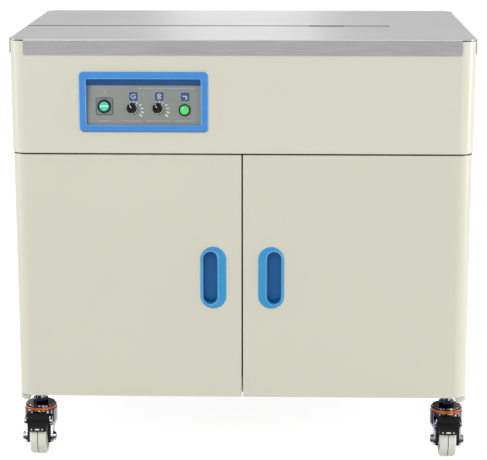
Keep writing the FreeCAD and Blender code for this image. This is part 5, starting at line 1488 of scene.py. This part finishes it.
@dataclass
class Doors(Assembly):
    """The two doors with their recessed handles."""

    rim_front: float = -297.434
    handle_x: float = 57.2
    handle_z: float = 379.3
    mouth_offset: float = 5.8
    mouth: tuple[float, float] = (29.5, 107.3)
    lip_back: float = -274.434
    low: float = 133.0
    high: float = 624.8
    strip_reach: tuple[float, float] = (9.5, 408.0)
    pin_x: float = 433.0
    stiffener_heights: tuple[float, float] = (230.0, 520.0)
    stiffener_reach: tuple[float, float] = (28.0, 405.0)

    def slot_line(self, side: int, grow: float, depth: float) -> list[tuple[float, float, float]]:
        """Draw the closed line round a handle's mouth.

        Args:
            side: -1 for the left door and 1 for the right.
            grow: How far outside the mouth's edge it runs.
            depth: Where it lies along Y.

        Returns:
            Its points.
        """
        width, height = self.mouth
        middle = side * (self.handle_x + self.mouth_offset)
        radius = width / 2 + grow
        outline = Shape.rounded(width + 2 * grow, height + 2 * grow, radius, 12)
        return [(middle + x, depth, self.handle_z + z) for x, z in outline]

    def make_handle_details(self, side: int, word: str) -> None:
        """Roll a bead round a handle's mouth, in a lighter blue that paints its highlight, and a softer lip inside
        it.
        """
        bead = Shape()
        line = self.slot_line(side, 0.9, self.rim_front + 0.1)
        bead.sweep(line + [line[0], line[1]], 1.0, 10)
        self.fit(bead, f"{word}_handle_bead", "highlight_blue", f"{word}_door", "blue_plastic")
        line = self.slot_line(side, -0.9, BODY_FRONT + 1.6)
        inner = Shape()
        inner.sweep(line + [line[0], line[1]], 0.8, 8)
        self.fit(inner, f"{word}_handle_lip", "handle_blue", f"{word}_door", "blue_plastic")

    def make_gasket(self, side: int, word: str) -> None:
        """Run the foam strip along the bottom and the free edge of a door's back."""
        strip = Shape()
        inner, outer = (side * reach for reach in self.strip_reach)
        y = self.lip_back + 0.05
        start = (inner, y, self.low + 8)
        for end in ((outer, y, self.low + 8), (inner, y, self.high - 20)):
            strip.sweep([start, end], 0.2, 4)
        self.fit(strip, f"{word}_door_strip", "foam", f"{word}_door", "rubber")

    def make_hinge_details(self, side: int, word: str) -> None:
        """Put flanged bushes at a door's two pin holes and stiffening ribs behind its sheet."""
        bushes = Shape()
        x, y = side * self.pin_x, BODY_FRONT + 14.0
        for z, up in ((self.low + 14.0, 1), (self.high - 14.0, -1)):
            bushes.turned([(6.9, 0), (6.9, 0.9), (6.2, 1.4), (3.6, 1.4), (3.4, 0.6)], (x, y, z), (0, 0, up), 28,
                          closed=False)
        self.fit(bushes, f"{word}_door_bushes", "brass", f"{word}_door", "steel")
        ribs = Shape()
        start, end = sorted(side * reach for reach in self.stiffener_reach)
        for z in self.stiffener_heights:
            ribs.block((start, BODY_FRONT + 1.5, z - 12), (end, BODY_FRONT + 6.0, z + 12), 1.2)
            ribs.block((start + 6, BODY_FRONT + 6.0, z - 5), (end - 6, BODY_FRONT + 9.0, z + 5), 1.2)
        self.fit(ribs, f"{word}_door_stiffeners", "frame_cream", f"{word}_door", "cream_paint")

    def build(self) -> None:
        """Make both doors' pieces."""
        for side, word in ((-1, "left"), (1, "right")):
            self.make_handle_details(side, word)
            self.make_gasket(side, word)
            self.make_hinge_details(side, word)


@dataclass
class TableTop(Assembly):
    """The steel table with its hinges, the buffers under it and the plate over the jaws."""

    hinge_places: tuple[float, float] = (-250.0, 250.0)
    hinge_screw_height: float = 804.5
    under: float = 848.5
    rib_places: tuple[float, ...] = (-330.0, -110.0, 330.0)
    rib_runs: tuple[tuple[float, float], ...] = ((-215.0, -60.0), (0.0, 235.0))

    def make_hinge_screws(self) -> None:
        """Put the screws on the fixed leaves and the ends on the hinge pins."""
        screws = Shape()
        for middle in self.hinge_places:
            for offset in (-32.0, 0.0, 32.0):
                screws.pan_screw((middle + offset, BODY_BACK + 1.5, self.hinge_screw_height), (0, 1, 0), 3.3, 1.6,
                                 21 + offset)
        self.fit(screws, "hinge_screws", "turned_steel")
        pins = Shape()
        _, high = box_of("table_hinge_base")
        for middle in self.hinge_places:
            for side in (-1, 1):
                pins.turned([(2.6, -0.6), (2.6, 0.2), (1.9, 0.9)],
                            (middle + side * 45.0, high.y - 3.5, high.z - 3.5), (side, 0, 0), 18)
        self.fit(pins, "hinge_pin_ends", "turned_steel")

    def make_stiffeners(self) -> None:
        """Fix the folded ribs under the table with their spot welds."""
        ribs = Shape()
        for x in self.rib_places:
            for y0, y1 in self.rib_runs:
                ribs.block((x - 16, y0, self.under - 2.0), (x + 16, y1, self.under), 0.4)
                for y in (y0 + 20, (y0 + y1) / 2, y1 - 20):
                    ribs.turned([(4.2, 0), (3.8, 0.3), (2.0, 0.5), (0.3, 0.5)], (x, y, self.under - 2.0),
                                (0, 0, -1), 16)
        self.fit(ribs, "table_ribs", "plain_steel", "table", "table_steel")

    def make_slide_marks(self) -> None:
        """Draw the fine grip lines on the plate over the jaws."""
        low, high = box_of("slide_plate")
        lines = Shape()
        for index in range(7):
            x = low.x + 14.0 + index * 6.5
            lines.sweep([(x, low.y + 5, high.z - 0.05), (x, high.y - 5, high.z - 0.05)], 0.22, 6)
        self.fit(lines, "slide_plate_lines", "dark_steel", "slide_plate")

    def make_buffer_screws(self) -> None:
        """Sink a screw in each rubber buffer."""
        screws = Shape()
        low, high = box_of("table_buffers")
        for x in (low.x + 9.0, high.x - 9.0):
            for y in (low.y + 9.0, high.y - 9.0):
                screws.pan_screw((x, y, high.z - 1.6), (0, 0, 1), 3.4, 1.5)
        self.fit(screws, "buffer_screws", "turned_steel", "cabinet", "rubber")


@dataclass
class StrapReel(Assembly):
    """The reel for the strap with its stand, hand nut and brake lever."""

    x: float = -205.0
    z: float = 378.0
    front: float = -222.4
    flange_radius: float = 190.0
    stand_back: float = -10.4
    brake_pivot_height: float = 586.5

    def make_flange_ribs(self) -> None:
        """Raise the rim, the hub ring and the radial ribs on the front flange."""
        ribs = Shape()
        for radius in (self.flange_radius - 2.2, 104.0, 34.0):
            ribs.ring(radius, 1.5, (self.x, self.front + 0.2, self.z), (0, -1, 0), 96, 8)
        for index in range(6):
            angle = math.tau * (index + 0.5) / 6
            ribs.sweep([(self.x + 36 * math.cos(angle), self.front + 0.1, self.z + 36 * math.sin(angle)),
                        (self.x + 186 * math.cos(angle), self.front + 0.1, self.z + 186 * math.sin(angle))], 1.5, 8)
        self.fit(ribs, "reel_flange_ribs", "reel_grey", "reel", "reel_plastic")

    def make_nut_cap(self) -> None:
        """Cap the hand nut with a turned disc."""
        cap = Shape()
        low, _ = box_of("reel_hand_nut")
        cap.turned([(18.0, 0), (17.8, 0.7), (16.6, 1.2), (14.4, 1.2), (14.0, 0.6)], (self.x, low.y + 0.1, self.z),
                   (0, -1, 0), 36, closed=False)
        for index in range(6):
            angle = math.tau * index / 6 + 0.26
            cap.turned([(1.9, 0), (1.6, 0.7), (0.3, 1.0)],
                       (self.x + 22.2 * math.cos(angle), low.y + 0.1, self.z + 22.2 * math.sin(angle)),
                       (0, -1, 0), 12)
        self.fit(cap, "hand_nut_cap", "black_plastic", "hand_nut", "black_plastic")

    def make_stand_fittings(self) -> None:
        """Bolt the stand to the tray and pin the brake lever's pivot."""
        bolts = Shape()
        for x in (self.x - 30.0, self.x + 30.0):
            bolts.hex_head((x, self.stand_back + 48.0, TRAY_TOP + 8.0), (0, 0, 1), 13.0, 5.0, 10.0)
        bolts.hex_head((self.x, self.stand_back, self.z), (0, 1, 0), 24.0, 8.0, 18.0)
        bolts.hex_head((self.x + 45.0, self.stand_back, self.brake_pivot_height), (0, 1, 0), 10.0, 4.0, 8.0)
        self.fit(bolts, "reel_stand_bolts", "turned_steel")

    def make_brake_details(self) -> None:
        """Put the handle grip and the pad's screws on the brake lever."""
        low, high = box_of("reel_brake_arm")
        grip = Shape()
        grip.sweep([(low.x + 3, (low.y + high.y) / 2, high.z - 9), (low.x + 34, (low.y + high.y) / 2, high.z - 9)],
                   9.6, 16)
        self.fit(grip, "brake_grip", "black_plastic", "reel_brake", "black_plastic")
        screws = Shape()
        for offset in (-10.0, 10.0):
            screws.cap_screw((self.x + offset, high.y - 4.0, high.z), (0, 0, 1), 2.8, 2.8)
        self.fit(screws, "brake_pad_screws", "dark_steel", "reel_brake")


@dataclass
class SealingHead(Assembly):
    """The head's plates, cams, jaws and heater."""

    left_face: float = 125.0
    right_face: float = 209.0
    middle: float = 167.0
    guide_screw_heights: tuple[float, float] = (774.0, 790.0)
    motor_screw_heights: tuple[float, float] = (486.0, 575.0)

    def make_plate_screws(self) -> None:
        """Screw the side plates to the guide block."""
        screws = Shape()
        for y in (-20.0, 20.0):
            for z in self.guide_screw_heights:
                screws.cap_screw((self.left_face, STRAP_LINE + y * 0.9 - 2, z), (-1, 0, 0), 4.2, 4.2)
                screws.cap_screw((self.right_face, STRAP_LINE + y, z), (1, 0, 0), 4.2, 4.2)
        for y in (-40.0, 40.0):
            for z in self.motor_screw_heights:
                screws.cap_screw((self.right_face, STRAP_LINE + y, z), (1, 0, 0), 4.2, 4.2)
        self.fit(screws, "head_plate_screws", "dark_steel")

    def make_bearings(self) -> None:
        """Put the dark seals and outer rings on the shaft's bearings."""
        seals = Shape()
        rings = Shape()
        at = (self.left_face - 6.0, STRAP_LINE, CAM_SHAFT_HEIGHT)
        seals.turned([(12.6, 0), (12.4, 0.4), (9.2, 0.4), (9.0, 0)], at, (-1, 0, 0), 36, closed=False)
        rings.turned([(15.0, 0), (14.8, 0.6), (13.0, 0.6), (12.8, 0)], at, (-1, 0, 0), 36, closed=False)
        rings.turned([(13.6, 0), (13.4, 0.9), (9.6, 0.9), (9.2, 0)],
                     (self.right_face, STRAP_LINE, CAM_SHAFT_HEIGHT), (1, 0, 0), 36, closed=False)
        self.fit(seals, "bearing_seals", "rubber")
        self.fit(rings, "bearing_rings", "turned_steel")

    def make_cam_hubs(self) -> None:
        """Put collars with set screws between the cams."""
        hubs = Shape()
        for x in (self.middle - 10.75, self.middle + 10.75):
            hubs.turned([(12.4, -3.4), (12.6, -3.0), (12.6, 3.0), (12.4, 3.4)],
                        (x, STRAP_LINE, CAM_SHAFT_HEIGHT), (1, 0, 0), 32)
            hubs.cap_screw((x, STRAP_LINE, CAM_SHAFT_HEIGHT + 12.4), (0, 0, 1), 2.2, 1.6)
        self.fit(hubs, "cam_collars", "turned_steel", "camshaft", "dark_steel")

    def make_limit_switch(self) -> None:
        """Fix the small switch that feels the shaft's turn."""
        case = Shape()
        case.block((self.left_face - 12.0, -86.0, 684.0), (self.left_face, -64.0, 720.0), 1.0)
        case.block((self.left_face - 9.0, -84.0, 720.0), (self.left_face - 3.0, -66.0, 723.5), 0.6)
        self.fit(case, "limit_switch", "black_plastic", "cabinet", "black_plastic")
        metal = Shape()
        metal.sweep([(self.left_face - 6.0, -63.8, 716.0), (self.left_face - 6.0, -61.2, 700.0),
                     (self.left_face - 6.0, -61.4, 688.0)], 0.9, 8)
        metal.turned([(3.4, -2.4), (3.4, 2.4)], (self.left_face - 6.0, -60.6, 686.0), (1, 0, 0), 20)
        for z in (690.0, 714.0):
            metal.pan_screw((self.left_face - 12.0, -75.0, z), (-1, 0, 0), 2.4, 1.3)
        self.fit(metal, "limit_switch_lever", "turned_steel")

    def make_heater_posts(self) -> None:
        """Put the ceramic posts with their nuts on the back of the heater's block."""
        low, high = box_of("heater")
        posts = Shape()
        nuts = Shape()
        for x in (self.middle - 10.0, self.middle + 10.0):
            posts.turned([(4.2, 0), (4.2, 1.6), (3.2, 2.2), (4.0, 2.8), (4.0, 4.2), (3.2, 4.8)],
                         (x, high.y, low.z + 6.0), (0, 1, 0), 24)
            nuts.loft([(Shape.circle(3.2, 6), 0.0), (Shape.circle(3.2, 6), 2.2)],
                      Shape.frame((x, high.y + 4.8, low.z + 6.0), (0, 1, 0)))
            nuts.disc(1.5, 4.4, (x, high.y + 4.8, low.z + 6.0), (0, 1, 0), 0.3, 16)
        self.fit(posts, "heater_posts", "white_plastic", "heater")
        self.fit(nuts, "heater_nuts", "turned_steel", "heater")


@dataclass
class Drive(Assembly):
    """The gear motor with its belt and pulleys."""

    motor_height: float = 530.5
    cap_face: float = 53.0
    gear_face: float = 167.0
    pulley_face: float = 231.0

    def make_fan_grille(self) -> None:
        """Put the grille's rings and spokes on the motor's end cap."""
        grille = Shape()
        at = (self.cap_face + 0.2, STRAP_LINE, self.motor_height)
        for radius in (12.0, 22.0, 32.0, 42.0):
            grille.ring(radius, 1.3, at, (-1, 0, 0), 60, 8)
        for index in range(8):
            angle = math.tau * index / 8
            grille.sweep([(at[0], at[1] + 12 * math.cos(angle), at[2] + 12 * math.sin(angle)),
                          (at[0], at[1] + 46 * math.cos(angle), at[2] + 46 * math.sin(angle))], 1.3, 8)
        grille.turned([(9.0, 0), (8.6, 0.8), (6.0, 1.2), (0.5, 1.2)], at, (-1, 0, 0), 28)
        self.fit(grille, "motor_grille", "black_plastic", "cabinet", "motor_paint")

    def make_terminal_box(self) -> None:
        """Stand the terminal box with its lid, screws and gland on the motor."""
        case = Shape()
        case.block((92.0, -62.0, 573.0), (138.0, -8.0, 598.0), 2.0)
        case.block((90.0, -64.0, 598.0), (140.0, -6.0, 602.0), 1.2)
        case.turned([(7.0, 0), (7.0, 5.0), (5.6, 8.0), (3.4, 8.4)], (92.0, -35.0, 586.0), (-1, 0, 0), 24)
        self.fit(case, "terminal_box", "motor_paint", "cabinet", "motor_paint")
        screws = Shape()
        for x in (96.0, 134.0):
            for y in (-58.0, -12.0):
                screws.pan_screw((x, y, 602.0), (0, 0, 1), 3.0, 1.6)
        for y in (-35.0, 35.0):
            for z in (-35.0, 35.0):
                screws.cap_screw((self.gear_face, STRAP_LINE + y, self.motor_height + z), (-1, 0, 0), 4.0, 4.0)
        self.fit(screws, "motor_screws", "dark_steel", "cabinet", "dark_steel")

    def make_belt_ribs(self) -> None:
        """Raise the fine cross ribs on the back of the belt's straight runs."""
        ribs = Shape()
        low, high = box_of("drive_belt")
        run = CAM_SHAFT_HEIGHT - self.motor_height
        lean = (38.0 - 19.0) / run
        for side in (-1, 1):
            for index in range(34):
                share = index / 33
                z = self.motor_height + 4 + share * (run - 8)
                reach = (22.0 + (41.0 - 22.0) * share) * math.sqrt(1 - lean * lean) + 0.3
                y = STRAP_LINE + side * reach
                ribs.sweep([(low.x + 0.4, y, z), (high.x - 0.4, y, z)], 0.45, 6)
        self.fit(ribs, "belt_ribs", "rubber", "cabinet", "rubber")

    def make_pulley_hubs(self) -> None:
        """Put the hub, the end screw and a ring on both pulleys."""
        for name, body, z, radius in (("cam_pulley_hub", "camshaft", CAM_SHAFT_HEIGHT, 30.0),
                                      ("motor_pulley_hub", "motor_pulley", self.motor_height, 13.5)):
            hub = Shape()
            at = (self.pulley_face, STRAP_LINE, z)
            hub.turned([(radius * 0.5, 0), (radius * 0.5, 2.4), (radius * 0.46, 2.9), (0.4, 2.9)], at, (1, 0, 0), 32)
            hub.ring(radius, 0.8, at, (1, 0, 0), 56, 8)
            hub.hex_head((self.pulley_face + 2.9, STRAP_LINE, z), (1, 0, 0), 8.0, 3.4, 5.6)
            self.fit(hub, name, "turned_steel", body, "aluminium")


@dataclass
class Feed(Assembly):
    """The rollers that feed and pull back the strap."""

    plate_front: float = -19.034
    roller_front: float = -41.334
    rollers: dict[str, tuple[float, float, float]] = field(default_factory=lambda: {
        "feed_roller": (85.0, 760.0, 20.0), "pinch_roller": (85.0, 727.4, 12.0), "guide_roller": (63.0, 674.0, 15.0)})

    def make_roller_faces(self) -> None:
        """Put a bearing ring and a marked face on the front of each roller."""
        for name, (x, z, radius) in self.rollers.items():
            face = Shape()
            at = (x, self.roller_front, z)
            face.turned([(radius * 0.82, 0), (radius * 0.8, 0.35), (radius * 0.62, 0.35), (radius * 0.6, 0)], at,
                        (0, -1, 0), 36, closed=False)
            for index in range(3):
                angle = math.tau * index / 3
                face.turned([(1.3, 0), (1.2, 0.3), (0.3, 0.35)],
                            (x + radius * 0.71 * math.cos(angle), self.roller_front - 0.2,
                             z + radius * 0.71 * math.sin(angle)), (0, -1, 0), 12)
            self.fit(face, f"{name}_face", "dark_steel", name, "steel")

    def make_guides(self) -> None:
        """Bend the strap's guide plates between the rollers and screw them to the plate."""
        guides = Shape()
        middle_x, middle_z, _ = self.rollers["feed_roller"]
        turns = [math.radians(-62 + step * 13) for step in range(9)]
        for reach in (26.0, 28.6):
            path = [(middle_x + reach * math.cos(turn), middle_z + reach * math.sin(turn)) for turn in turns]
            for y in (-36.0, -26.0):
                guides.sweep([(x, y, z) for x, z in path], 0.9, 8)
        for x, z in ((52.0, 784.0), (52.0, 700.0), (112.0, 660.0)):
            guides.cap_screw((x, self.plate_front, z), (0, -1, 0), 3.6, 3.6)
        self.fit(guides, "feed_guides", "turned_steel")

    def make_bracket(self) -> None:
        """Fix the plate to the head with an angle and two screws."""
        angle = Shape()
        angle.block((109.0, -11.0, 700.0), (125.0, -7.0, 750.0), 0.6)
        angle.block((121.0, -7.0, 700.0), (125.0, 9.0, 750.0), 0.6)
        for z in (710.0, 740.0):
            angle.cap_screw((121.0, 2.0, z), (-1, 0, 0), 3.0, 3.0)
            angle.cap_screw((115.0, -7.0, z), (0, 1, 0), 3.0, 3.0)
        self.fit(angle, "feed_bracket", "plain_steel")


@dataclass
class Electrics(Assembly):
    """The transformer on the floor tray."""

    x: float = 320.0
    y: float = 142.966

    def make_winding(self) -> None:
        """Wrap the taped coil with its edge bands."""
        low, high = box_of("transformer")
        coil = Shape()
        middle_z = low.z + 4.0 + 40.0
        for index in range(9):
            z = middle_z - 22.0 + index * 5.5
            outline = Shape.rounded(62.0, high.y - low.y + 0.6, 8.0, 5)
            line = [(self.x + x, (low.y + high.y) / 2 + y, z) for x, y in outline]
            coil.sweep(line + [line[0]], 0.9, 6)
        self.fit(coil, "transformer_tape", "coil_tape", "cabinet", "copper_coil")

    def make_terminals(self) -> None:
        """Put the terminal strip, the clamp bolts and the foot screws on the transformer."""
        low, high = box_of("transformer")
        strip = Shape()
        strip.block((self.x - 36, self.y - 9, high.z - 0.2), (self.x + 36, self.y + 9, high.z + 9), 0.8)
        for index in range(7):
            x = self.x - 36 + index * 12
            strip.block((x - 0.7, self.y - 9, high.z + 8.8), (x + 0.7, self.y + 9, high.z + 12), 0.3)
        self.fit(strip, "transformer_terminals", "black_plastic", "cabinet", "black_plastic")
        screws = Shape()
        for index in range(6):
            for y in (-4.5, 4.5):
                screws.pan_screw((self.x - 30 + index * 12, self.y + y, high.z + 9), (0, 0, 1), 2.6, 1.4)
        for x in (low.x + 5.5, high.x - 5.5):
            for y in (low.y + 8.0, high.y - 8.0):
                screws.hex_head((x, y, TRAY_TOP + 4.0), (0, 0, 1), 7.0, 3.4, 5.4)
        self.fit(screws, "transformer_screws", "turned_steel")


ASSEMBLIES: tuple[type[Assembly], ...] = (ControlPanel, Casters, Cabinet, Doors, TableTop, StrapReel, SealingHead,
                                          Drive, Feed, Electrics)


def main() -> None:
    """Load the frame, build every sub-assembly and light it."""
    logging.basicConfig(level=logging.INFO, format="%(message)s", stream=sys.stdout)
    bpy.context.scene.view_settings.view_transform = "Standard"
    shop = Workshop(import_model())
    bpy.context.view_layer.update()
    for look, nodes in COATS.items():
        shop.dress(nodes, look)
    for kind in ASSEMBLIES:
        kind(shop).build()
        LOG.info("finished %s", kind.__name__)
    Studio().build(box_of("table_top")[0].y)


if __name__ == "__main__":
    main()
